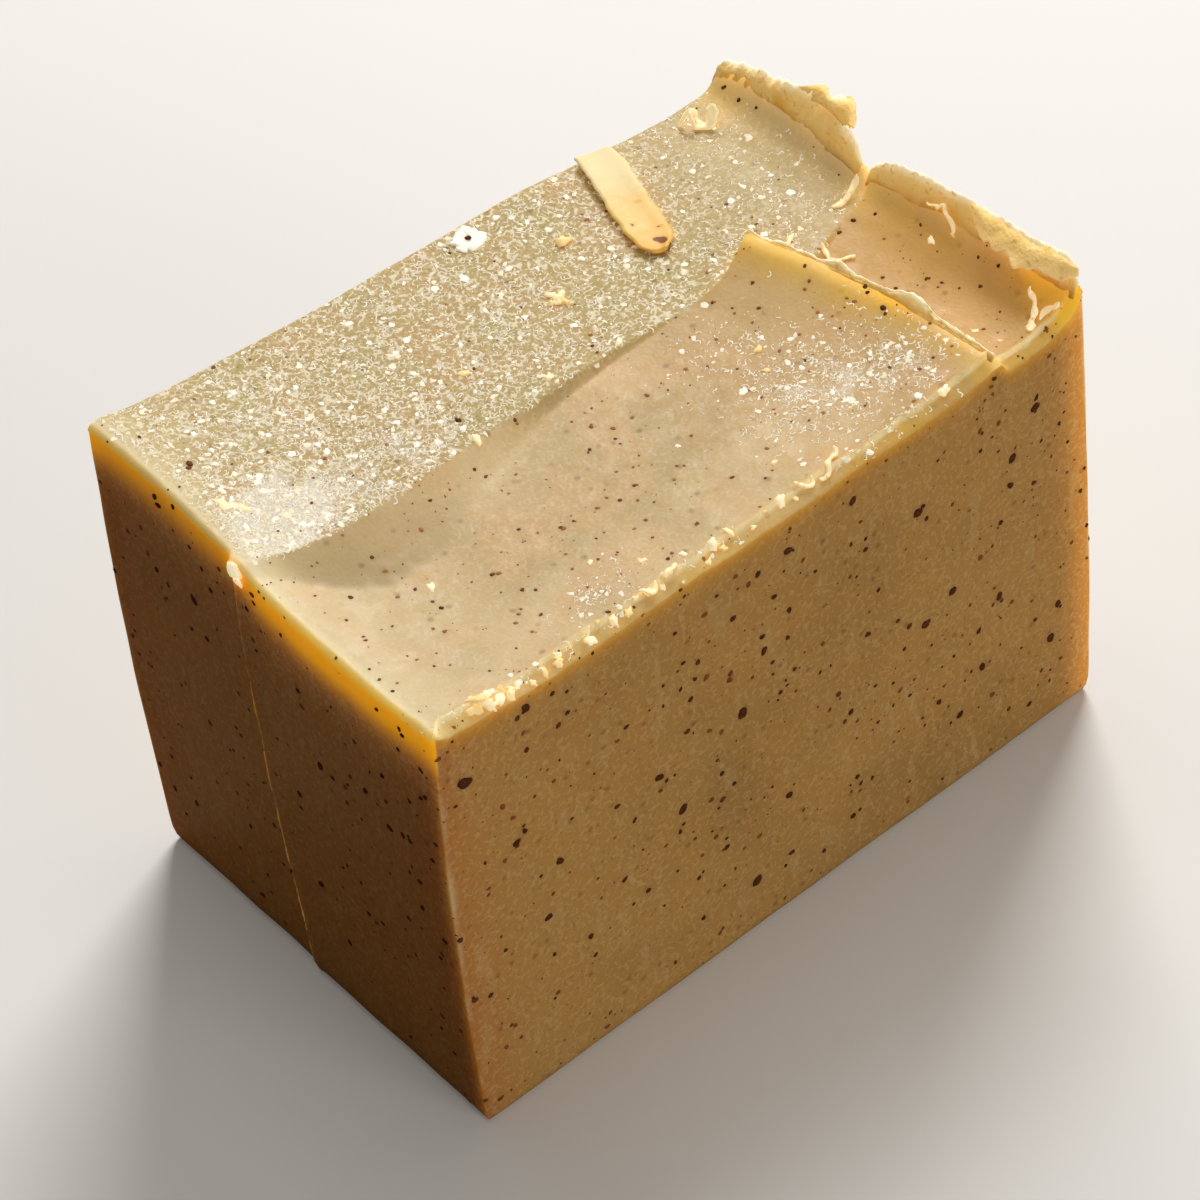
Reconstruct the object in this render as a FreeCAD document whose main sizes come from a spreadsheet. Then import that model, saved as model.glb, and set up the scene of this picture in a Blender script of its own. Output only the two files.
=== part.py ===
"""A hand-cut bar of soap, lying on its base, with the top pared by three strokes of a blade.

Frame, in millimetres: the origin is the middle of the base, X runs along the bar, Y across it
from the front face to the back, and Z is up. The bar is one piece. Its base is flat, its left
end has a shallow step down its middle, and its right end leans inwards towards the top. On the
top a back stroke and a front stroke lie side by side and meet along a seam, and an end stroke
lies behind the lip that the front stroke raised. Each stroke leaves a rolled rim where the
blade went in and a curled lip where it stopped. A thin shaving and a few crumbs of the same
soap rest loose in the strokes.
"""

import FreeCAD
import Part
import os
import Sketcher

from FreeCAD import Placement, Rotation, Vector

doc = FreeCAD.newDocument("bar_of_soap")
sheet = doc.addObject("Spreadsheet::Sheet", "Sizes")

SIZES = {
    "base_length": 81.2,
    "bar_width": 50.6,
    "front_height": 53.4,
    "right_end_lean": 2.4,
    "corner_round": 0.6,
    "end_step_depth": 0.4,
    "end_step_seam": 3.3,
    "stroke_seam": 1.8,
    "stroke_overlap": 0.4,
    "end_stroke_overlap": 1.2,
    "blank_spare": 6.0,
    "blade_clearance": 1.0,
    "rim_crest": 1.2,
    "rim_drop": 2.6,
    "rim_run": 7.0,
    "lip_run": 9.0,
    "lip_curl": 2.5,
    "lip_edge": 0.5,
    "lip_back_run": 1.6,
    "end_lip_run": 7.0,
    "seat_clearance": 0.1,
    "shaving_length": 15.6,
    "shaving_width": 4.5,
    "shaving_thickness": 0.5,
    "shaving_rise": 1.2,
    "shaving_end_gap": 20.1,
    "shaving_back_gap": 0.8,
    "shaving_turn": 12.0,
}

# Each stroke at its back, its middle and its front. The floor's left and right ends, the rim
# and the lip are heights above the bar's front edge, sag is how far the floor dips between its
# ends, and setback is how far the lip stops short of the bar's right end.
STROKES = {
    "back_stroke": {
        "back": {"rim": 4.3, "left": 2.5, "sag": -0.6, "right": -0.9, "lip": 2.6, "setback": 2.2},
        "middle": {"rim": 4.3, "left": 1.2, "sag": 0.3, "right": -1.2, "lip": 4.2, "setback": 2.2},
        "front": {"rim": 2.6, "left": 0.5, "sag": 0.2, "right": -1.0, "lip": 0.6, "setback": 2.2},
    },
    "front_stroke": {
        "back": {"rim": 2.4, "left": -1.7, "sag": 0.2, "right": -1.0, "lip": 1.4, "setback": 18.6},
        "middle": {"rim": 1.2, "left": -1.2, "sag": 0.4, "right": -1.0, "lip": 2.1, "setback": 15.5},
        "front": {"rim": 1.0, "left": -0.2, "sag": 0.0, "right": 0.0, "lip": 0.8, "setback": 13.3},
    },
    "end_stroke": {
        "back": {"rim": 1.4, "left": -0.8, "sag": 0.0, "right": -0.8, "lip": 1.0, "setback": 2.2},
        "middle": {"rim": 2.1, "left": -1.5, "sag": 0.1, "right": -1.2, "lip": 3.9, "setback": 2.2},
        "front": {"rim": 0.8, "left": -0.1, "sag": 0.0, "right": 0.1, "lip": 3.2, "setback": 2.2},
    },
}
for stroke, stations in STROKES.items():
    for station, values in stations.items():
        for what, number in values.items():
            SIZES[f"{stroke}_{station}_{what}"] = number

# Each crumb's width and thickness, its number of points, how deep the cuts between the points
# go as a share of its radius, and the gaps from it to the bar's right end and to its back face.
CRUMBS = {
    "star_crumb": {
        "width": 2.2, "thickness": 0.9, "points": 5, "cut": 0.45, "end_gap": 34.9, "back_gap": 12.9},
    "chip_crumb": {
        "width": 1.6, "thickness": 0.8, "points": 3, "cut": 0.1, "end_gap": 29.5, "back_gap": 7.4},
    "curl_crumb": {
        "width": 2.8, "thickness": 0.7, "points": 4, "cut": 0.3, "end_gap": 6.7, "back_gap": 2.2},
    "flake_crumb": {
        "width": 3.0, "thickness": 0.6, "points": 6, "cut": 0.2, "end_gap": 35.6, "back_gap": 0.7},
}
for crumb, values in CRUMBS.items():
    for what, number in values.items():
        SIZES[f"{crumb}_{what}"] = number

for row, (alias, number) in enumerate(SIZES.items(), start=1):
    sheet.set(f"A{row}", alias)
    sheet.set(f"B{row}", str(number))
    sheet.setAlias(f"B{row}", alias)
doc.recompute()

RIGHT_END = "Sizes.base_length / 2"
BACK_FACE = "Sizes.bar_width / 2"
BLANK_TOP = "(Sizes.front_height + Sizes.blank_spare)"


def value(expression):
    """The number that an expression over the sheet gives."""
    return float(sheet.evalExpression(expression))


def new_sketch(body, name, role, offset="0"):
    """An empty sketch on one of the body's own origin planes, moved along the plane's normal."""
    sketch = body.newObject("Sketcher::SketchObject", name)
    plane = [feature for feature in body.Origin.OriginFeatures if feature.Role == role][0]
    sketch.AttachmentSupport = [(plane, "")]
    sketch.MapMode = "FlatFace"
    sketch.setExpression("AttachmentOffset.Base.z", offset)
    return sketch


def hold(sketch, kind, geometry, point, name, expression):
    """Ties one point's distance from the sketch's origin to an expression over the sheet."""
    constraint = Sketcher.Constraint(kind, -1, 1, geometry, point, value(expression))
    index = sketch.addConstraint(constraint)
    sketch.renameConstraint(index, name)
    sketch.setExpression(f"Constraints.{name}", expression)


def hold_point(sketch, geometry, point, name, across, up):
    """Ties both coordinates of one point to expressions over the sheet."""
    hold(sketch, "DistanceX", geometry, point, f"{name}_across", across)
    hold(sketch, "DistanceY", geometry, point, f"{name}_up", up)


def join(sketch, edges):
    """Joins each edge's end to the next edge's start, and the last one's to the first's."""
    for edge, following in zip(edges, edges[1:] + edges[:1]):
        sketch.addConstraint(Sketcher.Constraint("Coincident", edge, 2, following, 1))


def polygon(sketch, corners):
    """A closed outline of straight edges whose corners are pairs of expressions."""
    points = [Vector(value(across), value(up), 0) for across, up in corners]
    edges = [sketch.addGeometry(Part.LineSegment(start, end))
             for start, end in zip(points, points[1:] + points[:1])]
    join(sketch, edges)
    for number, (edge, (across, up)) in enumerate(zip(edges, corners), start=1):
        hold_point(sketch, edge, 1, f"corner_{number}", across, up)


def stroke_outline(body, name, place, poles, reach):
    """What a stroke takes away at one place across the bar: above a smooth blade line that
    follows its poles, then straight out from the lip, and up past the top of the blank."""
    sketch = new_sketch(body, name, "XZ_Plane", f"-({place})")
    points = [Vector(value(across), value(up), 0) for across, up in poles]
    blade_line = Part.BSplineCurve()
    blade_line.buildFromPoles(points, False, 3)
    blade = sketch.addGeometry(blade_line)
    sketch.exposeInternalGeometry(blade)
    for number, (across, up) in enumerate(poles, start=1):
        hold_point(sketch, blade + number, 3, f"pole_{number}", across, up)
    top = f"{BLANK_TOP} + Sizes.blade_clearance"
    corners = [poles[-1], (reach, poles[-1][1]), (reach, top), (poles[0][0], top), poles[0]]
    ends = [Vector(value(across), value(up), 0) for across, up in corners]
    sides = [sketch.addGeometry(Part.LineSegment(start, end)) for start, end in zip(ends, ends[1:])]
    join(sketch, [blade] + sides)
    hold_point(sketch, sides[0], 2, "lip_reach", reach, poles[-1][1])
    hold_point(sketch, sides[1], 2, "top_right", reach, top)
    hold_point(sketch, sides[2], 2, "top_left", poles[0][0], top)
    return sketch


def stroke_heights(stroke, station):
    """A stroke's four heights above the base at one station."""
    return {what: f"Sizes.front_height + Sizes.{stroke}_{station}_{what}"
            for what in ("rim", "left", "right", "lip")}


def long_stroke_poles(stroke, station):
    """The blade line of a stroke that goes in at the left end and curls up a lip where it stops."""
    height = stroke_heights(stroke, station)
    sag = f"Sizes.{stroke}_{station}_sag"
    lip = f"{RIGHT_END} - Sizes.{stroke}_{station}_setback"
    start = f"-({RIGHT_END}) + Sizes.rim_run"
    foot = f"{lip} - Sizes.lip_run"
    return [
        (f"-({RIGHT_END}) - Sizes.rim_crest", f"{height['rim']} - Sizes.rim_drop"),
        (f"-({RIGHT_END}) + Sizes.rim_crest", height["rim"]),
        (start, height["left"]),
        (f"({start} + {foot}) / 2", f"({height['left']} + {height['right']}) / 2 - {sag}"),
        (foot, height["right"]),
        (f"{lip} - Sizes.lip_curl", f"({height['right']} + {height['lip']}) / 2"),
        (lip, height["lip"]),
    ]


def end_stroke_poles(stroke, station):
    """The blade line behind the front stroke's lip: down the lip's back and up the end's lip."""
    height = stroke_heights(stroke, station)
    sag = f"Sizes.{stroke}_{station}_sag"
    lip = f"{RIGHT_END} - Sizes.{stroke}_{station}_setback"
    crest = f"{RIGHT_END} - Sizes.front_stroke_{station}_setback + Sizes.lip_edge"
    start = f"{crest} + Sizes.lip_back_run"
    foot = f"{lip} - Sizes.end_lip_run"
    return [
        (crest, height["rim"]),
        (start, height["left"]),
        (f"({start} + {foot}) / 2", f"({height['left']} + {height['right']}) / 2 - {sag}"),
        (foot, height["right"]),
        (f"{lip} - Sizes.lip_curl", f"({height['right']} + {height['lip']}) / 2"),
        (lip, height["lip"]),
    ]


def pare(body, stroke, front, back, find_poles):
    """Takes one stroke off the blank, as a smooth cut through its three outlines."""
    places = {"back": back, "middle": f"({front} + {back}) / 2", "front": front}
    reach = f"{RIGHT_END} + Sizes.rim_crest"
    outlines = [stroke_outline(body, f"{stroke}_{station}", place, find_poles(stroke, station), reach)
                for station, place in places.items()]
    doc.recompute()
    before = body.Shape.Volume
    cut = body.newObject("PartDesign::SubtractiveLoft", stroke)
    cut.Profile = outlines[0]
    cut.Sections = outlines[1:]
    doc.recompute()
    if body.Shape.Volume >= before:
        raise RuntimeError(f"{stroke} took nothing away")


def soap_block():
    """The bar itself: a sawn blank with softened corners, a stepped left end and three strokes."""
    body = doc.addObject("PartDesign::Body", "soap_block")
    body.Label = "soap_block"
    side = new_sketch(body, "side_view", "XZ_Plane")
    polygon(side, [
        (f"-({RIGHT_END})", "0"),
        (RIGHT_END, "0"),
        (f"{RIGHT_END} - Sizes.right_end_lean", BLANK_TOP),
        (f"-({RIGHT_END})", BLANK_TOP),
    ])
    blank = body.newObject("PartDesign::Pad", "blank")
    blank.Profile = side
    blank.SideType = "Symmetric"
    blank.setExpression("Length", "Sizes.bar_width")
    doc.recompute()

    rounded = body.newObject("PartDesign::Fillet", "softened_corners")
    roof = value(BLANK_TOP)
    corners = [f"Edge{number}" for number, edge in enumerate(blank.Shape.Edges, start=1)
               if min(vertex.Z for vertex in edge.Vertexes) < roof / 2]
    rounded.Base = (blank, corners)
    rounded.setExpression("Radius", "Sizes.corner_round")
    doc.recompute()

    step = new_sketch(body, "end_step_view", "XY_Plane")
    outside = f"-({RIGHT_END}) - Sizes.blade_clearance"
    inside = f"-({RIGHT_END}) + Sizes.end_step_depth"
    behind = f"{BACK_FACE} + Sizes.blade_clearance"
    polygon(step, [
        (outside, "Sizes.end_step_seam"),
        (inside, "Sizes.end_step_seam"),
        (inside, behind),
        (outside, behind),
    ])
    doc.recompute()
    before = body.Shape.Volume
    pocket = body.newObject("PartDesign::Pocket", "end_step")
    pocket.Profile = step
    pocket.Type = "ThroughAll"
    pocket.Reversed = True
    doc.recompute()
    if pocket.Shape.Volume >= before:
        raise RuntimeError("the end step took nothing away")

    seam = "Sizes.stroke_seam"
    front = f"-({BACK_FACE}) - Sizes.blade_clearance"
    pare(body, "back_stroke", seam, f"{BACK_FACE} + Sizes.blade_clearance", long_stroke_poles)
    pare(body, "front_stroke", front, f"{seam} + Sizes.stroke_overlap", long_stroke_poles)
    pare(body, "end_stroke", front, f"{seam} + Sizes.end_stroke_overlap", end_stroke_poles)
    return body


def height_over(block, point):
    """How far a point lies above the top of the bar."""
    plumb_line = Part.makeLine(Vector(point.x, point.y, 0), Vector(point.x, point.y, point.z))
    inside = block.Shape.common(plumb_line)
    return point.z - max(vertex.Z for vertex in inside.Vertexes)


def seat(body, block, name, size_across, size_along, turn):
    """Lays a loose piece on the bar: turned on its place, then lowered until it nearly touches."""
    across = value(f"{RIGHT_END} - Sizes.{name}_end_gap - {size_across} / 2")
    along = value(f"{BACK_FACE} - Sizes.{name}_back_gap - {size_along} / 2")
    raised = value(BLANK_TOP)
    body.Placement = Placement(Vector(across, along, raised), Rotation(Vector(0, 0, 1), turn))
    doc.recompute()
    points = body.Shape.tessellate(value("Sizes.seat_clearance"))[0]
    fall = min(height_over(block, point) for point in points) - value("Sizes.seat_clearance")
    body.Placement = Placement(Vector(across, along, raised - fall), Rotation(Vector(0, 0, 1), turn))


def loose_shaving(block):
    """A thin curled shaving, arched a little along its length, lying across the back stroke."""
    body = doc.addObject("PartDesign::Body", "loose_shaving")
    body.Label = "loose_shaving"
    sketch = new_sketch(body, "shaving_side_view", "YZ_Plane", "-Sizes.shaving_width / 2")
    half = value("Sizes.shaving_length / 2")
    rise = value("Sizes.shaving_rise")
    thick = value("Sizes.shaving_thickness")
    under = sketch.addGeometry(Part.Arc(Vector(-half, 0, 0), Vector(0, rise, 0), Vector(half, 0, 0)))
    over = sketch.addGeometry(
        Part.Arc(Vector(-half, thick, 0), Vector(0, rise + thick, 0), Vector(half, thick, 0)))
    front_end = sketch.addGeometry(Part.LineSegment(Vector(-half, thick, 0), Vector(-half, 0, 0)))
    back_end = sketch.addGeometry(Part.LineSegment(Vector(half, 0, 0), Vector(half, thick, 0)))
    # An arc runs anticlockwise, so its first point is the one at the strip's back end.
    for edge, point, other, other_point in (
            (under, 1, back_end, 1), (back_end, 2, over, 1),
            (over, 2, front_end, 1), (front_end, 2, under, 2)):
        sketch.addConstraint(Sketcher.Constraint("Coincident", edge, point, other, other_point))
    hold_point(sketch, front_end, 2, "front_foot", "-Sizes.shaving_length / 2", "0")
    hold_point(sketch, back_end, 1, "back_foot", "Sizes.shaving_length / 2", "0")
    hold_point(sketch, front_end, 1, "front_top", "-Sizes.shaving_length / 2", "Sizes.shaving_thickness")
    hold_point(sketch, back_end, 2, "back_top", "Sizes.shaving_length / 2", "Sizes.shaving_thickness")
    bend = "((Sizes.shaving_length / 2)^2 + Sizes.shaving_rise^2) / (2 * Sizes.shaving_rise)"
    for arc, name in ((under, "under_bend"), (over, "over_bend")):
        index = sketch.addConstraint(Sketcher.Constraint("Radius", arc, value(bend)))
        sketch.renameConstraint(index, name)
        sketch.setExpression(f"Constraints.{name}", bend)
    strip = body.newObject("PartDesign::Pad", "shaving_strip")
    strip.Profile = sketch
    strip.setExpression("Length", "Sizes.shaving_width")
    doc.recompute()
    seat(body, block, "shaving", "Sizes.shaving_width", "Sizes.shaving_length", value("Sizes.shaving_turn"))
    return body


def loose_crumb(block, name):
    """A flat crumb with a ragged outline, of the named width, thickness and number of points."""
    body = doc.addObject("PartDesign::Body", name)
    body.Label = name
    sketch = new_sketch(body, f"{name}_outline", "XY_Plane")
    points = round(value(f"Sizes.{name}_points"))
    corners = []
    for number in range(2 * points):
        angle = f"({180 * number / points} deg)"
        cut = f"(1 - Sizes.{name}_cut)" if number % 2 else "1"
        radius = f"Sizes.{name}_width / 2 * {cut}"
        corners.append((f"{radius} * cos{angle}", f"{radius} * sin{angle}"))
    polygon(sketch, corners)
    slab = body.newObject("PartDesign::Pad", f"{name}_slab")
    slab.Profile = sketch
    slab.setExpression("Length", f"Sizes.{name}_thickness")
    doc.recompute()
    seat(body, block, name, f"Sizes.{name}_width", f"Sizes.{name}_width", 0)
    return body


def check_and_write(bodies):
    """Stops on a failed object or an unsound solid, then writes one file for each piece."""
    doc.recompute()
    for item in doc.Objects:
        if "Invalid" in item.State or "Error" in item.State:
            raise RuntimeError(f"{item.Name} failed: {item.State}")
    os.makedirs("parts", exist_ok=True)
    for body in bodies:
        shape = body.Shape
        if shape.isNull() or not shape.isValid() or len(shape.Solids) != 1:
            raise RuntimeError(f"{body.Label} isn't one sound solid")
        shape.exportStep(f"parts/{body.Label}.step")
        box = shape.BoundBox
        print(f"{body.Label}: volume {shape.Volume:.2f}, x {box.XMin:.2f} to {box.XMax:.2f}, "
              f"y {box.YMin:.2f} to {box.YMax:.2f}, z {box.ZMin:.2f} to {box.ZMax:.2f}")


block = soap_block()
pieces = [block, loose_shaving(block)]
pieces += [loose_crumb(block, name) for name in CRUMBS]
check_and_write(pieces)
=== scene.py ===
import bpy
import math
import numpy as np

from mathutils import Matrix, Vector, noise
from mathutils.bvhtree import BVHTree


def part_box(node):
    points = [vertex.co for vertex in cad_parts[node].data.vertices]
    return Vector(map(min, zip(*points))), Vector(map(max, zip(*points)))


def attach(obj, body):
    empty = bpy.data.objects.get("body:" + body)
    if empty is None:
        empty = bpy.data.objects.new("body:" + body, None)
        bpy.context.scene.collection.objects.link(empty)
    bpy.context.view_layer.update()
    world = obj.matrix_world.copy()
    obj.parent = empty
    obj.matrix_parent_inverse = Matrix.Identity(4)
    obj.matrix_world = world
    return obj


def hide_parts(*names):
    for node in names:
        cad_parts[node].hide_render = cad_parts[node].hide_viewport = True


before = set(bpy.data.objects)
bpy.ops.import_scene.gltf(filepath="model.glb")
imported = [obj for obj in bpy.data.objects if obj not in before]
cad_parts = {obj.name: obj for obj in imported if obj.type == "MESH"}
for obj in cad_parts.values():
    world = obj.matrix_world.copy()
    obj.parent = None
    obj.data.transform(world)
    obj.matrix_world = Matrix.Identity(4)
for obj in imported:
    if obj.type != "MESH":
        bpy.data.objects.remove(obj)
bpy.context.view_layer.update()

# The bar of soap is in the frame that the solid gives: its base is flat on z = 0, +X is the end
# with the curled lips, and -Y is the front face. Lengths below are in millimetres until a mesh
# is made, and colours are the ones a screen shows, from 0 to 255.
MM = 0.001


def colour(red, green, blue):
    """A screen colour as the numbers that a shader takes."""
    levels = [level / 255 for level in (red, green, blue)]
    return [level / 12.92 if level <= 0.04045 else ((level + 0.055) / 1.055) ** 2.4
            for level in levels] + [1.0]


# The studio: a pale table top and three soft lamps: a large one behind the right end, a weak one
# above and one low in front. With a weak pale sky all round, they leave the top bright, the front
# half bright and the left end dark.
TABLE_SIZE = 6.0
TABLE_COLOUR = colour(236, 233, 228)
TABLE_BOUNCE_COLOUR = colour(140, 120, 92)
TABLE_LIFT = 0.10
KEY_LAMP_PLACE = Vector((0.44, 0.36, 0.60))
KEY_LAMP_SIZE = 0.34
KEY_LAMP_WATTS = 5.6
TOP_LAMP_PLACE = Vector((0.02, 0.10, 0.78))
TOP_LAMP_SIZE = 0.4
TOP_LAMP_WATTS = 0.9
FRONT_LAMP_PLACE = Vector((0.11, -0.84, 0.12))
FRONT_LAMP_SIZE = 0.4
FRONT_LAMP_WATTS = 3.2
SKY_COLOUR = colour(255, 246, 228)
SKY_LEVEL = 0.09

bpy.context.scene.view_settings.view_transform = "Standard"


def new_material(name):
    """A material with its principled shader and its node tree."""
    material = bpy.data.materials.new(name)
    material.use_nodes = True
    material.cycles.emission_sampling = "NONE"
    tree = material.node_tree
    return material, tree, tree.nodes["Principled BSDF"]


def set_inputs(tree, node, sources):
    """Sets each named input of a node to a value, or links it to a socket."""
    for name, source in dict(sources).items():
        if isinstance(source, bpy.types.NodeSocket):
            tree.links.new(source, node.inputs[name])
        else:
            node.inputs[name].default_value = source


def add_node(tree, kind, sources=(), **settings):
    """A node with its settings and its inputs, which are set by name or by number."""
    node = tree.nodes.new(kind)
    for name, setting in settings.items():
        setattr(node, name, setting)
    set_inputs(tree, node, sources)
    return node


def combine(tree, way, first, second):
    """A sum, a product or the like of two numbers."""
    return add_node(tree, "ShaderNodeMath", {0: first, 1: second}, operation=way).outputs["Value"]


def table_top():
    """The pale table top, seen by the camera as the same pale colour everywhere but in shadow."""
    half = TABLE_SIZE / 2
    mesh = bpy.data.meshes.new("table_top")
    corners = [(-half, -half, 0), (half, -half, 0), (half, half, 0), (-half, half, 0)]
    mesh.from_pydata(corners, [], [(0, 1, 2, 3)])
    material, tree, shader = new_material("pale_table")
    sight = add_node(tree, "ShaderNodeLightPath").outputs["Is Camera Ray"]
    shade = add_node(tree, "ShaderNodeMixRGB", {
        "Fac": sight, "Color1": TABLE_BOUNCE_COLOUR, "Color2": TABLE_COLOUR}).outputs["Color"]
    set_inputs(tree, shader, {
        "Base Color": shade, "Emission Color": TABLE_COLOUR, "Roughness": 0.85,
        "Emission Strength": combine(tree, "MULTIPLY", sight, TABLE_LIFT)})
    mesh.materials.append(material)
    table = bpy.data.objects.new("table_top", mesh)
    bpy.context.collection.objects.link(table)


def soft_lamp(name, place, size, watts):
    """A square soft lamp that faces the middle of the bar."""
    light = bpy.data.lights.new(name, "AREA")
    light.shape = "SQUARE"
    light.size = size
    light.energy = watts
    lamp = bpy.data.objects.new(name, light)
    lamp.location = place
    lamp.rotation_euler = (Vector((0, 0, 0.03)) - place).to_track_quat("-Z", "Y").to_euler()
    bpy.context.collection.objects.link(lamp)


table_top()
soft_lamp("key_lamp", KEY_LAMP_PLACE, KEY_LAMP_SIZE, KEY_LAMP_WATTS)
soft_lamp("top_lamp", TOP_LAMP_PLACE, TOP_LAMP_SIZE, TOP_LAMP_WATTS)
soft_lamp("front_lamp", FRONT_LAMP_PLACE, FRONT_LAMP_SIZE, FRONT_LAMP_WATTS)
world = bpy.data.worlds.new("pale_sky")
world.use_nodes = True
sky = world.node_tree.nodes["Background"]
sky.inputs["Color"].default_value = SKY_COLOUR
sky.inputs["Strength"].default_value = SKY_LEVEL
bpy.context.scene.world = world

# The camera: it looks down on the left front corner of the bar, close by and with a long lens.
# Its aim is the middle of the bar, which lies a little right of and above the picture's middle.
PICTURE_SIDE = 1200
CAMERA_TURN = math.radians(-37.76)
CAMERA_RISE = math.radians(44.56)
CAMERA_ROLL = math.radians(-4.94)
CAMERA_DISTANCE = 0.3914
CAMERA_AIM = Vector((0, 0, 0.0276))
LENS_MM = 120.0
SENSOR_MM = 36.0
NEAREST_SEEN = 0.01
AIM_RIGHT_OF_MIDDLE = 15.3
AIM_ABOVE_MIDDLE = 26.0

towards_camera = Vector((math.sin(CAMERA_TURN) * math.cos(CAMERA_RISE),
                         -math.cos(CAMERA_TURN) * math.cos(CAMERA_RISE),
                         math.sin(CAMERA_RISE)))
level_right = Vector((0, 0, 1)).cross(towards_camera).normalized()
level_up = towards_camera.cross(level_right)
camera_right = level_right * math.cos(CAMERA_ROLL) + level_up * math.sin(CAMERA_ROLL)
camera_up = towards_camera.cross(camera_right)
lens = bpy.data.cameras.new("camera")
lens.lens = LENS_MM
lens.sensor_width = SENSOR_MM
lens.shift_x = -AIM_RIGHT_OF_MIDDLE / PICTURE_SIDE
lens.shift_y = -AIM_ABOVE_MIDDLE / PICTURE_SIDE
lens.clip_start = NEAREST_SEEN
camera = bpy.data.objects.new("camera", lens)
turned = Matrix((camera_right, camera_up, towards_camera)).transposed().to_4x4()
camera.matrix_world = Matrix.Translation(CAMERA_AIM + towards_camera * CAMERA_DISTANCE) @ turned
bpy.context.collection.objects.link(camera)
bpy.context.scene.camera = camera

# The bar: one block of hardened soap, sawn from a loaf. Its top was pared by three strokes of a
# blade along it, which left two long scoops side by side, a short one at the right end, and a
# curled lip at the end of each. Its left end has a step where two saw cuts met.
low, high = (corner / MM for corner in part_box("soap_block"))
LEFT, RIGHT_TOP, FRONT, BACK = low.x, high.x - 2.2, low.y, high.y
# How far apart the skin's points are, and how they crowd towards the top of the sides.
RIM_FINE, CUT_FINE, PLAIN_STEP = 0.20, 0.22, 0.34
SIDE_ROWS = 44
SIDE_ROW_CROWDING = 1.4
BASE_SHRINK = (0.9875, 0.98, 1)

# The line where the back scoop meets the front scoop and the end scoop, from left to right, and
# how wide the hollow below it is.
SEAM_X = [LEFT, -36, -32, -23.6, -13, -3, 4.6, 13, 17.6, 21, 22.6, 24.5, 27, 29.2, 32.5, 35, RIGHT_TOP]
SEAM_Y = [1.9, 0.8, 0.1, 0.5, 1.5, 2.0, 2.2, 1.9, 2.5, 3.7, 4.4, 2.2, -0.9, 0.2, 1.5, 1.7, 3.4]
HOLLOW_X = [LEFT, -37.5, -34, -30.5, -25, -16, -6, 2]
HOLLOW_WIDTH = [1.4, 3.2, 5.8, 7.6, 7.4, 4.6, 1.5, 0.5]
# The crest of the front scoop's lip, from the seam to the front face.
CREST_Y = [FRONT, -21, -14, -9.3, -2.4, 3.0, 5.0]
CREST_X = [27.2, 26.7, 26.3, 25.0, 23.6, 22.2, 21.9]

# Heights of each scoop along three lines: near its back, down its middle and near its front.
BACK_SCOOP_X = [LEFT, -39.4, -36, -28, -12, 0.5, 12, 20, 27.5, 33.6, 36.5, RIGHT_TOP]
BACK_SCOOP_Y = (3.0, 13.5, BACK)
BACK_SCOOP = (
    [55.5, 55.5, 55.1, 54.3, 53.5, 53.2, 52.9, 52.7, 52.4, 52.4, 52.8, 54.0],
    [57.0, 57.0, 56.3, 55.2, 54.1, 53.5, 53.2, 53.0, 52.9, 53.3, 54.5, 57.4],
    [57.2, 57.3, 56.6, 55.8, 55.0, 54.8, 54.5, 53.7, 52.9, 52.9, 53.4, 55.3],
)
FRONT_SCOOP_PART = [0.0, 0.022, 0.07, 0.16, 0.32, 0.55, 0.75, 0.89, 0.97, 1.0]
FRONT_SCOOP_Y = (FRONT, -11.0, 2.0)
FRONT_SCOOP = (
    [54.0, 54.0, 53.6, 53.2, 53.3, 53.4, 53.5, 53.7, 54.1, 54.4],
    [53.8, 53.8, 53.2, 52.4, 52.1, 52.3, 52.6, 53.4, 54.6, 55.4],
    [55.2, 55.1, 54.0, 52.7, 52.1, 52.1, 52.5, 53.3, 54.6, 55.6],
)
END_SCOOP_PART = [0.0, 0.2, 0.45, 0.7, 0.88, 1.0]
END_SCOOP_Y = (FRONT, -13.0, 2.5)
END_SCOOP = (
    [53.2, 53.0, 53.2, 53.9, 55.0, 57.0],
    [52.3, 51.8, 51.9, 52.9, 54.8, 57.4],
    [52.4, 52.2, 52.2, 52.5, 53.2, 54.9],
)
LIP_BACK_WIDTH = 1.1
LEFT_ROUNDING = 0.4
FRONT_BEVEL_WIDTH, BEVEL_SLOPE = 1.35, 0.7
LEFT_BELLY, RIGHT_LEAN, SAW_STEP_IN = 0.7, 2.7, 0.4
# The saw step's line up the left end: how high, and how far back.
SAW_STEP_Z = [0, 20, 40, 56]
SAW_STEP_Y = [1.0, 1.9, 2.9, 3.4]

# How brightly light comes through the left rim, from the front face to the back, how dark the hollow's
# painted shade is along the bar, and how thickly the ash lies along the back scoop.
LEFT_GLOW_Y = [FRONT, -20, -8, 0, 1.9, 2.6, 15, BACK]
LEFT_GLOW = [0.8, 1.0, 1.0, 0.85, 0.6, 0.5, 0.52, 0.65]
HOLLOW_SHADE_X = [LEFT, -35, -31, -26, -18, -12]
HOLLOW_SHADE = [0.35, 0.9, 1.0, 0.65, 0.15, 0]
ASH_COVER_X = [LEFT, -10, 20, RIGHT_TOP]
ASH_COVER = [0.24, 0.22, 0.16, 0.12]

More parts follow.
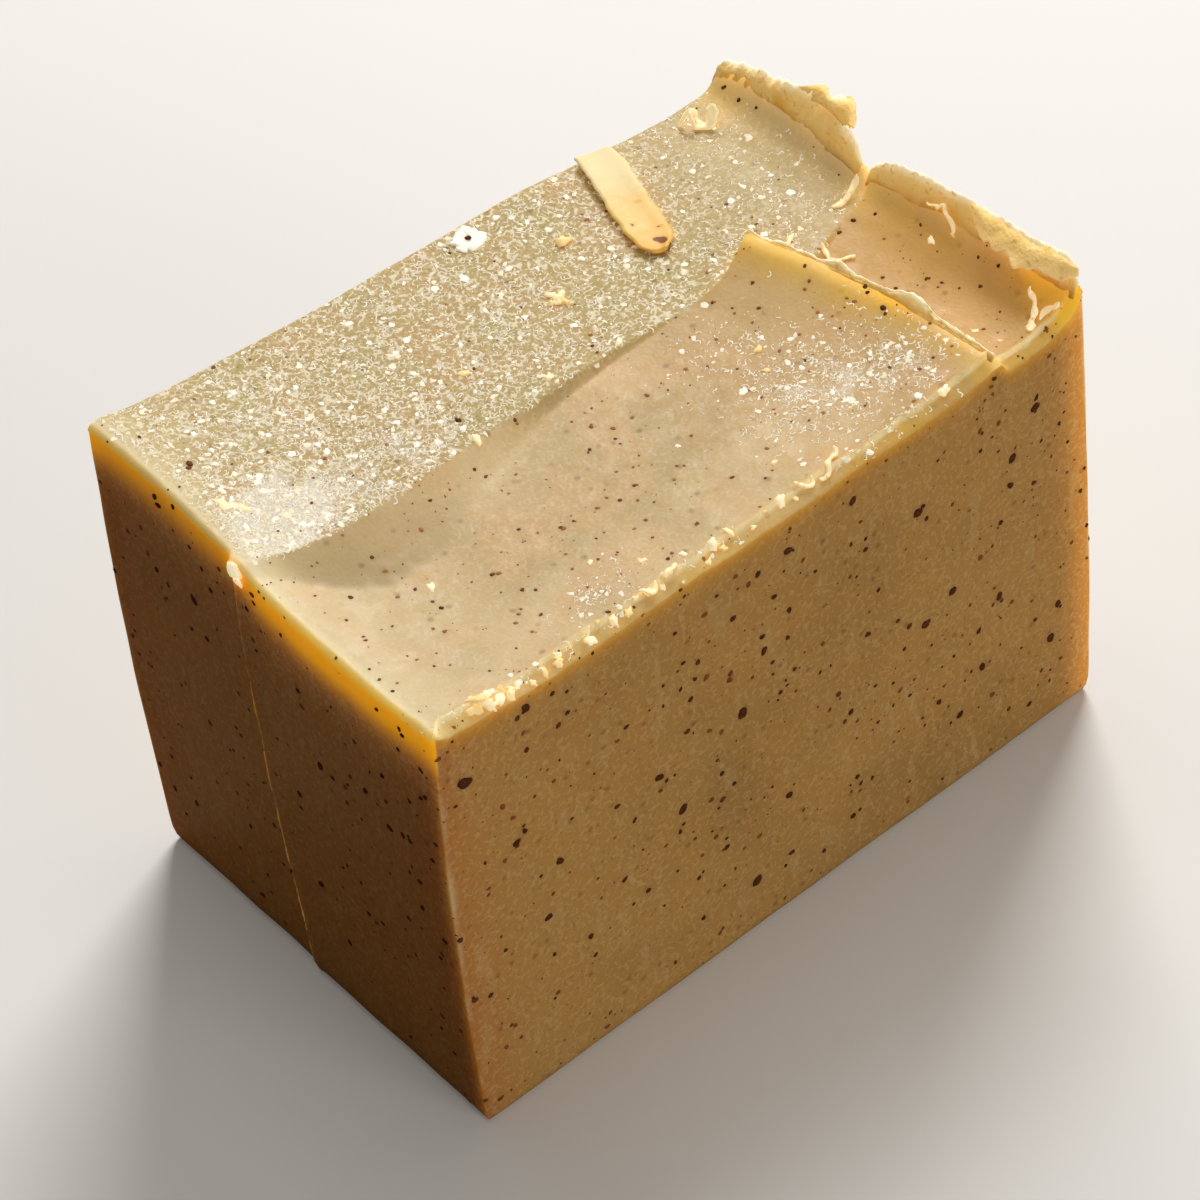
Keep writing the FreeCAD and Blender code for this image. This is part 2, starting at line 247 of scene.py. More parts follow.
# The white bloom's patches: where each lies, its half widths, how thick it is at most, and
# whether it lies in the back scoop.
BLOOM_PATCHES = (
    (-36.0, 3.6, 3.2, 3.4, 1.7, True),
    (-33, 4.2, 4.6, 3.6, 0.8, True),
    (-28, 12, 9.0, 9.0, 0.14, True),
    (-20, 5.0, 10.0, 4.0, 0.16, True),
    (13, -14, 6.0, 6.5, 0.42, False),
    (20, -18, 5.0, 4.5, 0.40, False),
    (11, -4, 4.0, 3.0, 0.16, False),
    (-18, -21, 3.5, 2.6, 0.24, False),
)


def smooth_line(places, heights, at):
    """A smooth curve through a few points, read at many places."""
    places, heights = np.array(places, float), np.array(heights, float)
    slopes = np.gradient(heights, places)
    at = np.clip(at, places[0], places[-1])
    span = np.clip(np.searchsorted(places, at) - 1, 0, len(places) - 2)
    width = places[span + 1] - places[span]
    part = (at - places[span]) / width
    left_over = 1 - part
    return (heights[span] * left_over ** 2 * (1 + 2 * part)
            + heights[span + 1] * part ** 2 * (3 - 2 * part)
            + width * part * left_over * (slopes[span] * left_over - slopes[span + 1] * part))


def across_three(at, stations, lines):
    """The surface through three lines that lie at three stations across the bar."""
    first, second, third = stations
    at = np.clip(at, first, third)
    return (lines[0] * (at - second) * (at - third) / ((first - second) * (first - third))
            + lines[1] * (at - first) * (at - third) / ((second - first) * (second - third))
            + lines[2] * (at - first) * (at - second) / ((third - first) * (third - second)))


def ease(part):
    """Nought below 0, one above 1, and a smooth slope between."""
    part = np.clip(part, 0, 1)
    return part * part * (3 - 2 * part)


def waves(x, y, z, size, seed):
    """Smooth random waves of one size, from about -1 to 1, at many points."""
    points = np.stack([x, y, z], -1).reshape(-1, 3) / size + seed * 17.3
    return np.array([noise.noise(point) for point in points.tolist()]).reshape(np.shape(x))


def waves_along(at, size, seed):
    """Smooth random waves of one size along a line."""
    return waves(at, at * 0, at * 0, size, seed)


def fade(gap, width, power=2):
    """One where a gap is nought, easing away to nought over a width."""
    return np.exp(-(gap / width) ** power)


def spaced(stretches):
    """Places along a side, where each stretch of the side has its own step."""
    runs = [np.linspace(start, end, round((end - start) / step) + 1)[:-1]
            for start, end, step in stretches]
    return np.concatenate(runs + [[stretches[-1][1]]])


def crest_x(y):
    """Where the crest of the front scoop's lip lies at a place across the bar."""
    return smooth_line(CREST_Y, CREST_X, y)


def past_saw_step(y, z):
    """How far back from the step between the two saw cuts a point of the left end lies."""
    return y - np.interp(z, SAW_STEP_Z, SAW_STEP_Y) - 0.15 * waves(y * 0, y * 0, z, 5.0, 3)


def rounded(gap, radius):
    """How far a rounded corner lies below a sharp one, at a distance from the corner."""
    inside = np.clip(1 - gap / radius, 0, 1)
    return radius * (1 - np.sqrt(1 - inside ** 2))


def top_height(x, y):
    """The height of the pared top, and how far each point is in the back scoop and the end scoop."""
    level = np.zeros_like(x)
    back_scoop = across_three(y, BACK_SCOOP_Y, [smooth_line(BACK_SCOOP_X, line, x)
                                                for line in BACK_SCOOP])
    crest = crest_x(y) + 0.25 * waves(level, y, level, 2.2, 1)
    part = (x - LEFT) / (crest - LEFT)
    front_scoop = across_three(y, FRONT_SCOOP_Y, [smooth_line(FRONT_SCOOP_PART, line, part)
                                                  for line in FRONT_SCOOP])
    part = (x - crest) / (RIGHT_TOP - crest)
    end_scoop = across_three(y, END_SCOOP_Y, [smooth_line(END_SCOOP_PART, line, part)
                                              for line in END_SCOOP])
    past_crest = ease((x - crest - 0.15) / LIP_BACK_WIDTH)
    front_half = front_scoop * (1 - past_crest) + end_scoop * past_crest
    seam = np.interp(x, SEAM_X, SEAM_Y) + 0.12 * waves_along(x, 3.0, 2)
    hollow = np.interp(x, HOLLOW_X, HOLLOW_WIDTH)
    up_the_hollow = np.clip((y - seam) / hollow + 1, 0, 1) ** 1.8
    height = front_half * (1 - up_the_hollow) + back_scoop * up_the_hollow
    behind_seam = np.clip((y - seam) / 0.25 + 0.7, 0, 1)
    return height, behind_seam, past_crest * (1 - behind_seam)


def edge_drop(x, y):
    """How far the top falls away at its rims, and where the bevel along the front edge is."""
    level = np.zeros_like(x)
    bevel = FRONT_BEVEL_WIDTH + 0.55 * waves_along(x, 6.0, 5) + 0.25 * waves_along(x, 1.6, 6)
    bevel = np.maximum(bevel * np.clip((x - LEFT) / 1.5, 0, 1), 0.15)
    gap = y - FRONT
    drop = BEVEL_SLOPE * np.clip(bevel - gap, 0, None) - 0.20 * fade(gap - bevel, 0.28)
    drop += rounded(x - LEFT, LEFT_ROUNDING + 0.2 * waves(level, y, level, 3.0, 7))
    drop += rounded(BACK - y, 0.4) + rounded(RIGHT_TOP - x, 0.35)
    return drop, np.clip((bevel - gap) / 0.5, 0, 1)


def left_end(y, z):
    """The left end's place: a faint belly, with the back half set in past the saw step."""
    belly = LEFT_BELLY * np.sin(math.pi * np.clip(z / 62, 0, 1))
    past_step = past_saw_step(y, z)
    ridge = 0.14 * fade(past_step + 0.15, 0.22)
    uneven = 0.12 * waves(y * 0, y, z, 7.0, 4)
    return LEFT + 0.25 - belly + SAW_STEP_IN * ease(past_step / 0.45) - ridge + uneven


def right_end(y, z):
    """The right end's place: it leans inwards towards the top."""
    lean = RIGHT_LEAN * (1 - np.clip(z / 55, 0, 1) ** 1.5)
    return RIGHT_TOP + lean + 0.10 * waves(y * 0, y, z, 7.0, 8)


def around(grid):
    """The outer places of a grid in order, once round it."""
    return np.concatenate([grid[:, 0], grid[-1, 1:], grid[-2::-1, -1], grid[0, -2:0:-1]])


def grid_faces(grid):
    """The four-sided faces between the places of a grid."""
    return np.stack([grid[:-1, :-1], grid[1:, :-1], grid[1:, 1:], grid[:-1, 1:]], -1).reshape(-1, 4)


def band_faces(above, below):
    """The faces between one ring of places and the next."""
    return np.stack([above, below, np.roll(below, -1), np.roll(above, -1)], -1)


def bar_mesh():
    """The whole skin of the bar: the pared top, four sawn sides and a flat base, with worn edges."""
    # The steps are finer at the rims, at the front lip and along the seam.
    along = spaced([(LEFT, LEFT + 2.6, RIM_FINE), (LEFT + 2.6, 20, PLAIN_STEP), (20, 29, CUT_FINE),
                    (29, 36, PLAIN_STEP), (36, RIGHT_TOP, RIM_FINE)])
    over = spaced([(FRONT, FRONT + 2.0, RIM_FINE), (FRONT + 2.0, -1.6, PLAIN_STEP),
                   (-1.6, 5.4, CUT_FINE), (5.4, BACK - 1.4, PLAIN_STEP), (BACK - 1.4, BACK, RIM_FINE)])
    columns, rows = len(along), len(over)
    top_index = np.arange(columns * rows).reshape(columns, rows)
    ring = around(top_index)
    top_x, top_y = (grid.ravel() for grid in np.meshgrid(along, over, indexing="ij"))
    down = np.linspace(0, 1, SIDE_ROWS + 1)[1:] ** SIDE_ROW_CROWDING

    height, behind_seam, past_crest = top_height(top_x, top_y)
    drop, on_bevel = edge_drop(top_x, top_y)
    level = np.zeros_like(top_x)
    ripple = 0.10 * waves(top_x, top_y, level, 6.0, 9) + 0.03 * waves(top_x, top_y, level, 1.3, 10)
    crust = behind_seam * 0.04 * waves(top_x, top_y, level, 0.45, 11)
    top_z = height - drop + ripple + crust

    x = np.concatenate([top_x] + [top_x[ring]] * SIDE_ROWS)
    y = np.concatenate([top_y] + [top_y[ring]] * SIDE_ROWS)
    z = np.concatenate([top_z, (top_z[ring] * (1 - down[:, None])).ravel()])
    depth = np.concatenate([level, (top_z[ring] * down[:, None]).ravel()])
    on_top = np.arange(len(x)) < len(top_x)
    top_only = [np.concatenate([mark, np.zeros(len(x) - len(top_x))])
                for mark in (behind_seam, past_crest, on_bevel)]

    part = (x - LEFT) / (RIGHT_TOP - LEFT)
    left, right = left_end(y, z), right_end(y, z)
    flat_x = left + (right - left) * part
    front_relief = 0.10 * waves(x, y * 0, z, 8.0, 12) + 0.03 * waves(x, y * 0, z, 1.6, 13)
    back_relief = 0.12 * waves(x, y * 0, z, 8.0, 14)
    to_front = np.clip((BACK - y) / (BACK - FRONT), 0, 1)
    flat_y = y + front_relief * to_front ** 6 + back_relief * (1 - to_front) ** 6
    points = np.stack([flat_x, flat_y, z], -1)

    quads = [grid_faces(top_index)]
    above = ring
    for row in range(SIDE_ROWS):
        below = len(top_x) + row * len(ring) + np.arange(len(ring))
        quads.append(band_faces(above, below))
        above = below
    inset = points[above] * BASE_SHRINK
    inner = len(points) + np.arange(len(ring))
    quads.append(band_faces(above, inner))
    points = np.concatenate([points, inset])
    quads = np.concatenate(quads)

    end_gap, face_gap = np.minimum(x - LEFT, RIGHT_TOP - x), np.minimum(y - FRONT, BACK - y)
    corner_gap = np.maximum(end_gap, face_gap)
    edge_gap = np.where(on_top, 9, np.minimum(corner_gap, z))
    wear = np.clip(0.6 + 0.5 * waves(x, y, z, 4.0, 15), 0, 1)
    soften = 0.5 * fade(edge_gap, 0.35 + 0.35 * wear)
    soften = np.concatenate([soften, np.zeros(len(ring))])
    points = worn_edges(points, quads, soften, rounds=5)
    points[:, 2] = np.maximum(points[:, 2], 0)

    mesh = bpy.data.meshes.new("soap_bar")
    faces = quads.tolist() + [inner.tolist()[::-1]]
    mesh.from_pydata((points * MM).tolist(), [], faces)
    mesh.update()
    mesh.shade_smooth()

    in_back, in_end, on_bevel = top_only
    marks = skin_marks(x, y, z, depth, on_top, corner_gap, in_back, in_end, on_bevel)
    for name, values in marks.items():
        layer = mesh.attributes.new(name, "FLOAT", "POINT")
        with_base = np.concatenate([values, np.zeros(len(ring))])
        layer.data.foreach_set("value", with_base.astype(np.float32))
    return mesh


def skin_marks(x, y, z, depth, on_top, corner_gap, in_back, in_end, on_bevel):
    """What the soap's colours follow: numbers from 0 to 1 at each point of the skin."""
    on_side = ~on_top
    at_left, at_right = on_side & (x <= LEFT + 0.01), on_side & (x >= RIGHT_TOP - 0.01)
    at_front = on_side & (y <= FRONT + 0.01)
    left_gap, right_gap, to_crest = np.abs(x - LEFT), np.abs(RIGHT_TOP - x), crest_x(y) - x
    in_front = on_top * (1 - in_back)
    crest = in_front * fade(to_crest - 0.2, 0.7)
    uphill = in_front * fade(np.clip(to_crest, 0, None), 2.6) * (to_crest > -0.5)
    near_lip = on_top * fade(right_gap, 3.4) * (in_back + in_end)
    far_front = at_front * fade(right_gap, 2.8)
    patchy = np.clip(0.5 + 1.1 * waves(x, y, z, 5.0, 16), 0, 1)

    # Light comes through the thin rims: the left end's, most of it in the front half, the front
    # lip's, and the right end's.
    through = 0.58 * fade(np.clip(depth - 0.9, 0, None), 2.9) + 0.42 * fade(depth, 5.8)
    along = np.interp(y, LEFT_GLOW_Y, LEFT_GLOW)
    rim_light = 1.15 * at_left * through * along + 0.7 * on_top * along * fade(left_gap, 0.9)
    rim_light += 1.0 * far_front + 0.18 * at_left * fade(corner_gap, 1.5) * (y < 0)
    rim_light += uphill * (0.21 + 0.21 * patchy) + 0.06 * on_bevel * on_top + 0.3 * crest
    rim_light += on_top * (0.62 * fade(right_gap, 4.5) * in_back + 0.46 * fade(right_gap, 6.5) * in_end)

    # Painted light: amber where light shines through thin soap, warm brown as painted shade on the dark
    # sides, and cream as painted highlights on the crests.
    amber = at_left * np.clip(1.7 * through * (0.5 + 0.5 * along) - 0.35, 0, 1) + 0.2 * far_front
    amber += 0.8 * on_top * along * fade(left_gap, 0.45, 4) + 0.75 * at_right * fade(depth, 2.2, 1)
    amber += uphill * (0.375 + 0.375 * patchy + 0.3 * fade(y + 12, 4.5))
    amber += near_lip * (0.18 + 0.27 * patchy) + 0.6 * on_top * fade(x - 37.5, 2.6) * fade(y + 22, 4.0)
    amber += 0.55 * on_side * ~at_left * ~at_right * fade(depth, 1.5)
    amber += on_top * on_bevel ** 2 * (0.22 + 0.30 * patchy) + 0.2 * at_left * fade(corner_gap, 1.2)
    # Painted shade: darker and warmer down the left end, most near its top, and along the upright edges.
    warm_shade = at_left * (0.5 + 0.5 * fade(depth, 7.0)) + 0.65 * on_side * fade(corner_gap, 3.5, 1.5)
    # Painted highlights: pale cream along the rims, the crests, the bevel's edge and the saw step, and a
    # broad lighter patch by the left rim.
    highlight_cream = on_top * (0.45 * fade(left_gap, 1.8) + 0.8 * crest + 0.8 * fade(right_gap, 1.3))
    highlight_cream += on_top * (0.5 * fade(left_gap, 3.0) * fade(y - 1.0, 3.0) + 0.35 * fade(left_gap, 5.0, 1))
    highlight_cream += 0.5 * on_side * fade(corner_gap, 0.35) * patchy * (z > 6)
    highlight_cream = np.maximum(highlight_cream, 3.8 * on_bevel * (1 - on_bevel))
    highlight_cream += 0.25 * at_left * fade(past_saw_step(y, z) + 0.1, 0.2) * patchy

    smooth_rim = 1 - np.clip(fade(left_gap, 1.0, 4) + near_lip * 1.2, 0, 1)
    # Painted shade: the hollow below the seam is darker, most near its foot and towards the left.
    up_the_hollow = (y - np.interp(x, SEAM_X, SEAM_Y)) / np.interp(x, HOLLOW_X, HOLLOW_WIDTH) + 1.05
    hollow = in_front * ease(up_the_hollow / 0.22) * (1.15 - 0.55 * np.clip(up_the_hollow, 0, 1))
    hollow *= np.interp(x, HOLLOW_SHADE_X, HOLLOW_SHADE)
    # Darker at random in broad patches, and painted light on the sides: lighter towards the left end.
    murk_and_painted_light = 0.5 - 0.5 * on_side * fade(x + 36, 18) + 0.9 * waves(x, y, z, 13.0, 18)
    rosy = 0.5 + 1.1 * waves(x, y, z, 6.0, 20) + 0.3 * waves(x, y, z, 2.2, 21)

    # Where the ash and the grains lie, and how thickly.
    cover = np.interp(x, ASH_COVER_X, ASH_COVER) * in_back
    for place_x, place_y, half_x, half_y, most, back in BLOOM_PATCHES:
        patch = most * np.exp(-((x - place_x) / half_x) ** 2 - ((y - place_y) / half_y) ** 2)
        cover = cover + patch * on_top * (in_back if back else 1 - in_back)
    cover = cover * smooth_rim * (1 + 0.7 * waves(x, y, z * 0, 2.6, 17))
    cover += 0.25 * on_top * fade(y - FRONT - 1.2, 0.6) * patchy * (x < 20)
    clusters = 0.55 + 0.9 * patchy

    marks = {
        "pared": np.where(on_top, 1, np.exp(-depth / 0.3)),
        "crust": in_back * smooth_rim * np.clip(1 - 0.8 * fade(x - 32, 9), 0, 1),
        "bloom": cover,
        "amber": amber,
        "rim_light": rim_light,
        "warm_shade": warm_shade,
        "highlight_cream": highlight_cream,
        "murk_and_painted_light": murk_and_painted_light + 0.4 * waves(x, y, z, 5.0, 19),
        "hollow": hollow,
        "rosy": rosy * (1 - 0.7 * in_end),
        "cut_grains": on_side * (1 - 0.45 * at_left) * clusters * (z > 0.9),
        "pared_grains": on_top * (1 - 0.6 * in_back) * clusters,
        "end_cut": in_end + 0.65 * in_front * (1 - in_end) * ease((x + 4) / 22),
        "stale": in_back * (0.75 - 0.5 * fade(left_gap, 25)) * (1 - 0.8 * fade(right_gap, 5)),
    }
    return {name: np.clip(values, 0, 1) for name, values in marks.items()}


def worn_edges(points, quads, soften, rounds):
    """Rounds the corners: each point moves towards its neighbours' middle by its own share."""
    starts = quads.ravel()
    ends = np.roll(quads, -1, axis=1).ravel()
    count = np.bincount(starts, minlength=len(points)) + np.bincount(ends, minlength=len(points))
    for _ in range(rounds):
        total = np.stack([np.bincount(starts, points[ends, axis], len(points))
                          + np.bincount(ends, points[starts, axis], len(points))
                          for axis in range(3)], -1)
        points = points + soften[:, None] * (total / count[:, None] - points)
    return points


mesh = bar_mesh()
bar = bpy.data.objects.new("soap_bar", mesh)
bpy.context.collection.objects.link(bar)


def new_finish(name):
    """A material with its tree and its shader, and the place of each point on its piece."""
    material, tree, shader = new_material(name)
    return material, tree, shader, add_node(tree, "ShaderNodeTexCoord").outputs["Object"]


def blend(tree, amount, first, second):
    """One colour laid over another, by an amount."""
    return add_node(tree, "ShaderNodeMixRGB", {
        "Fac": amount, "Color1": first, "Color2": second}).outputs["Color"]


def band(tree, source, start, end, low_end=0.0, high_end=1.0):
    """Eases from one number to another while its source goes from start to end."""
    return add_node(tree, "ShaderNodeMapRange", {
        "Value": source, "From Min": start, "From Max": end, "To Min": low_end, "To Max": high_end},
        interpolation_type="SMOOTHSTEP").outputs["Result"]


def share_of(tree, source, part):
    """A fixed part of a number."""
    return combine(tree, "MULTIPLY", source, part)


def relief(tree, height, strength, depth):
    """A fine relief, whose depth is in metres, for a shader's Normal."""
    return add_node(tree, "ShaderNodeBump", {
        "Height": height, "Strength": strength, "Distance": depth}).outputs["Normal"]


def mark(tree, name):
    """A number that each point of the mesh carries under a name."""
    return add_node(tree, "ShaderNodeAttribute", attribute_name=name).outputs["Fac"]


def cloud(tree, place, size_mm, detail=2.0, roughness=0.5, stretch=(1, 1, 1), turn=(0, 0, 0)):
    """Cloudy noise of one size in millimetres, which may be stretched and turned."""
    turned = add_node(tree, "ShaderNodeMapping", {"Vector": place, "Scale": stretch, "Rotation": turn})
    return add_node(tree, "ShaderNodeTexNoise", {
        "Vector": turned.outputs["Vector"], "Scale": 1 / (size_mm * MM), "Detail": detail,
        "Roughness": roughness}).outputs["Fac"]


def buried_grains(tree, place, spacing_mm, radius_mm, share):
    """Soft dark spots under the surface: grains that the soap half hides."""
    cells = add_node(tree, "ShaderNodeTexVoronoi", {"Vector": place, "Scale": 1 / (spacing_mm * MM)})
    spot = band(tree, cells.outputs["Distance"], radius_mm / spacing_mm, 0.2 * radius_mm / spacing_mm)
    pick = add_node(tree, "ShaderNodeSeparateColor", {"Color": cells.outputs["Color"]}).outputs["Red"]
    return combine(tree, "MULTIPLY", spot, band(tree, pick, share + 0.02, share - 0.02))


def squiggles(tree, place, size_mm, width):
    """Thin crooked broken lines, as the edges of tiny curled flakes show."""
    haze = cloud(tree, place, size_mm, 1.0)
    off = combine(tree, "ABSOLUTE", combine(tree, "SUBTRACT", haze, 0.5), 0.0)
    gaps = band(tree, cloud(tree, place, 0.7 * size_mm, 0.0, turn=(1, 2, 3)), 0.42, 0.52)
    return combine(tree, "MULTIPLY", band(tree, off, width, 0.3 * width), gaps)


SOAP_IOR = 1.46
RIM_GLOW = 0.42


def soap_skin():
    """The soap's surface: sawn sides, the paler pared top, the crust, and painted light: an amber glow at
    the thin edges, highlights on the crests and shade in the hollow and on the left end.

    The light that real soap lets through at its rims is a faint light of the material's own.
    """
    material, tree, shader, place = new_finish("amber_soap")
    pared, crust, amber = mark(tree, "pared"), mark(tree, "crust"), mark(tree, "amber")
    murk_and_painted_light, rosy = mark(tree, "murk_and_painted_light"), mark(tree, "rosy")
    drag = cloud(tree, place, 1.6, 1.0, stretch=(1.0, 1.0, 0.25), turn=(0, math.radians(48), 0))
    fine = cloud(tree, place, 0.42, 1.0)

    side = blend(tree, murk_and_painted_light, colour(196, 150, 84), colour(178, 136, 76))
    side = blend(tree, share_of(tree, rosy, 0.3), side, colour(206, 148, 76))
    # Painted warm shade on the left end and the upright edges.
    side = blend(tree, share_of(tree, mark(tree, "warm_shade"), 0.75), side, colour(200, 112, 52))
    side = blend(tree, band(tree, drag, 0.56, 0.76, 0.0, 0.38), side, colour(208, 172, 112))
    curls = squiggles(tree, place, 0.85, 0.085)
    side = blend(tree, share_of(tree, curls, 0.30), side, colour(226, 192, 132))
    side = blend(tree, band(tree, fine, 0.38, 0.26, 0.0, 0.4), side, colour(140, 98, 52))

    top = blend(tree, murk_and_painted_light, colour(230, 200, 148), colour(200, 171, 118))
    top = blend(tree, band(tree, rosy, 0.40, 0.95, 0.0, 0.55), top, colour(226, 184, 130))
    top = blend(tree, share_of(tree, curls, 0.2), top, colour(246, 222, 178))
    top = blend(tree, mark(tree, "stale"), top, colour(194, 174, 122))
    # Painted shade in the hollow.
    top = blend(tree, mark(tree, "hollow"), top, colour(180, 152, 102))
    top = blend(tree, share_of(tree, mark(tree, "end_cut"), 0.72), top, colour(204, 156, 82))
    rough_top = blend(tree, rosy, colour(194, 174, 116), colour(204, 170, 116))
    rough_top = blend(tree, band(tree, fine, 0.40, 0.62, 0.0, 0.5), rough_top, colour(222, 194, 146))
    rough_top = blend(tree, curls, rough_top, colour(246, 232, 200))
    top = blend(tree, crust, top, rough_top)
    skin = blend(tree, pared, side, top)

    near_grains = buried_grains(tree, place, 2.1, 0.50, 0.55)
    skin = blend(tree, share_of(tree, near_grains, 0.42), skin, colour(112, 68, 34))
    skin = blend(tree, band(tree, mark(tree, "bloom"), 0.35, 0.9, 0.0, 0.7), skin, colour(252, 247, 232))
    # Painted highlight on the crests and rims.
    skin = blend(tree, mark(tree, "highlight_cream"), skin, colour(255, 236, 186))
    # Painted glow: the amber that light gives where it shines through thin soap.
    glow_amber = blend(tree, pared, colour(255, 172, 22), colour(244, 194, 66))
    skin = blend(tree, amber, skin, glow_amber)

    flaky = band(tree, fine, 0.52, 0.66)
    dusted = combine(tree, "MULTIPLY", flaky, band(tree, mark(tree, "bloom"), 0.02, 0.75, 0.0, 0.95))
    skin = blend(tree, dusted, skin, colour(246, 238, 214))

    sheen_break = band(tree, drag, 0.3, 0.7, 0.34, 0.52)
    dull = combine(tree, "MAXIMUM", share_of(tree, crust, 0.75), dusted)
    rough = add_node(tree, "ShaderNodeMix", {"Factor": dull, "A": sheen_break, "B": 0.85})
    grit = combine(tree, "MULTIPLY", cloud(tree, place, 0.4, 0.0), band(tree, crust, 0.0, 1.0, 0.45, 1.6))
    shader.subsurface_method = "BURLEY"
    set_inputs(tree, shader, {
        "Base Color": skin, "Roughness": rough.outputs["Result"], "IOR": SOAP_IOR,
        "Specular IOR Level": 0.15, "Subsurface Weight": 1.0, "Subsurface Radius": (1.0, 0.90, 0.35),
        "Subsurface Scale": band(tree, amber, 0.0, 1.0, 0.0012, 0.0035), "Emission Color": skin,
        "Emission Strength": share_of(tree, mark(tree, "rim_light"), RIM_GLOW),
        "Normal": relief(tree, grit, 0.5, 0.00012)})
    return material


mesh.materials.append(soap_skin())
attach(bar, "root")
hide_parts("soap_block")

# The lips: where each stroke of the blade ended it pushed up a thin curl of soap, which stands
# on the end of its scoop and leans outwards. The torn upper edge is thin, pale and ragged.
LIP_STEP = 0.16
LIP_ROWS = 12
LIP_START_PART = 0.4
FLAP_ARCH = 0.5
# Each row is a place along a lip: x, y, the height of the torn edge, how far it leans over and
# how thick its foot is.
BACK_LIP = (
    (37.9, 25.2, 55.6, 0.5, 0.2), (37.9, 24.2, 56.3, 0.7, 0.2), (37.9, 21.9, 57.0, 0.8, 0.2),
    (37.9, 18.2, 57.8, 0.9, 0.2), (37.9, 13.9, 58.4, 0.9, 0.2), (37.9, 11.5, 58.8, 1.6, 0.2),
    (37.9, 9.6, 58.9, 2.2, 0.2), (37.9, 8.4, 58.8, 1.9, 0.2), (37.9, 7.3, 57.6, 1.0, 0.2),
    (37.9, 6.0, 56.8, 0.9, 0.2), (37.9, 4.9, 55.6, 0.6, 0.2), (37.9, 4.2, 54.4, 0.3, 0.2),
)
END_LIP = (
    (37.9, 3.0, 54.8, 0.4, 0.2), (37.9, 2.2, 55.6, 0.5, 0.2), (37.9, 0.2, 56.6, 0.6, 0.2),
    (37.9, -3.2, 57.4, 0.6, 0.2), (37.9, -7.4, 58.0, 0.6, 0.2), (37.9, -11.5, 58.1, 0.7, 0.3),
    (37.9, -15.6, 58.4, 0.7, 0.2), (37.9, -19.0, 58.3, 0.7, 0.2), (37.9, -22.0, 58.6, 0.8, 0.2),
    (37.9, -24.0, 58.2, 0.8, 0.2), (37.9, -24.9, 56.6, 0.5, 0.2),
)
FRONT_LIP = (
    (22.3, 3.6, 55.2, 0.2, 0.1), (22.6, 2.4, 55.4, 0.2, 0.1), (23.5, -1.0, 55.5, 0.3, 0.1),
    (24.2, -4.0, 55.6, 0.2, 0.1), (24.6, -6.4, 56.2, 0.4, 0.1), (25.1, -9.0, 55.6, 0.2, 0.1),
    (25.6, -11.0, 55.5, 0.2, 0.1), (26.0, -13.6, 56.1, 0.6, 0.1), (26.2, -16.0, 55.9, 0.6, 0.1),
    (26.5, -18.2, 55.2, 0.3, 0.1), (26.8, -21.4, 54.8, 0.2, 0.1), (27.1, -24.9, 54.5, 0.1, 0.1),
)
# Flaps that folded over from a lip. Each row is a place on the lip, then the one on the flap's
# free edge that belongs to it.
END_FLAP = (
    (38.5, -10.6, 57.7, 38.1, -10.7, 57.3), (38.6, -12.0, 57.9, 37.2, -12.4, 56.9),
    (38.7, -14.5, 58.0, 36.3, -14.8, 56.6), (38.7, -17.5, 58.0, 36.0, -18.0, 56.5),
    (38.7, -20.5, 58.2, 36.3, -20.8, 56.6), (38.6, -22.8, 58.3, 37.0, -23.2, 56.9),
    (38.6, -24.4, 58.0, 38.2, -24.9, 57.5),
)
BACK_FLAP = (
    (38.6, 13.6, 57.8, 38.9, 13.8, 58.3), (38.6, 12.5, 57.9, 39.9, 12.7, 58.8),
    (38.6, 11.0, 58.0, 40.4, 11.2, 58.9), (38.6, 9.8, 58.0, 39.5, 9.9, 58.6),
    (38.6, 8.9, 57.8, 40.6, 8.8, 58.5), (38.6, 7.6, 57.3, 40.2, 7.3, 58.0),
    (38.6, 6.6, 56.8, 39.0, 6.4, 57.2),
)


def even_places(rows, step):
    """Evenly spaced places along a smooth line through a few rows of numbers."""
    rows = np.array(rows, float)
    reach = np.concatenate([[0], np.cumsum(np.linalg.norm(np.diff(rows[:, :2], axis=0), axis=1))])
    at = np.linspace(0, reach[-1], round(reach[-1] / step) + 1)
    return at, [smooth_line(reach, rows[:, column], at) for column in range(rows.shape[1])]


def thin_sheet(centres, thickness):
    """A closed thin sheet about a grid of points: its points and its faces."""
    across = np.cross(np.gradient(centres, axis=0), np.gradient(centres, axis=1))
    across /= np.linalg.norm(across, axis=-1, keepdims=True) + 1e-9
    half = across * thickness[..., None] / 2
    rows, columns = thickness.shape
    upper = np.arange(rows * columns).reshape(rows, columns)
    lower = upper + rows * columns
    faces = [grid_faces(upper), grid_faces(lower)[:, ::-1], band_faces(around(upper), around(lower))]
    sides = [(centres + half).reshape(-1, 3), (centres - half).reshape(-1, 3)]
    return np.concatenate(sides), np.concatenate(faces)


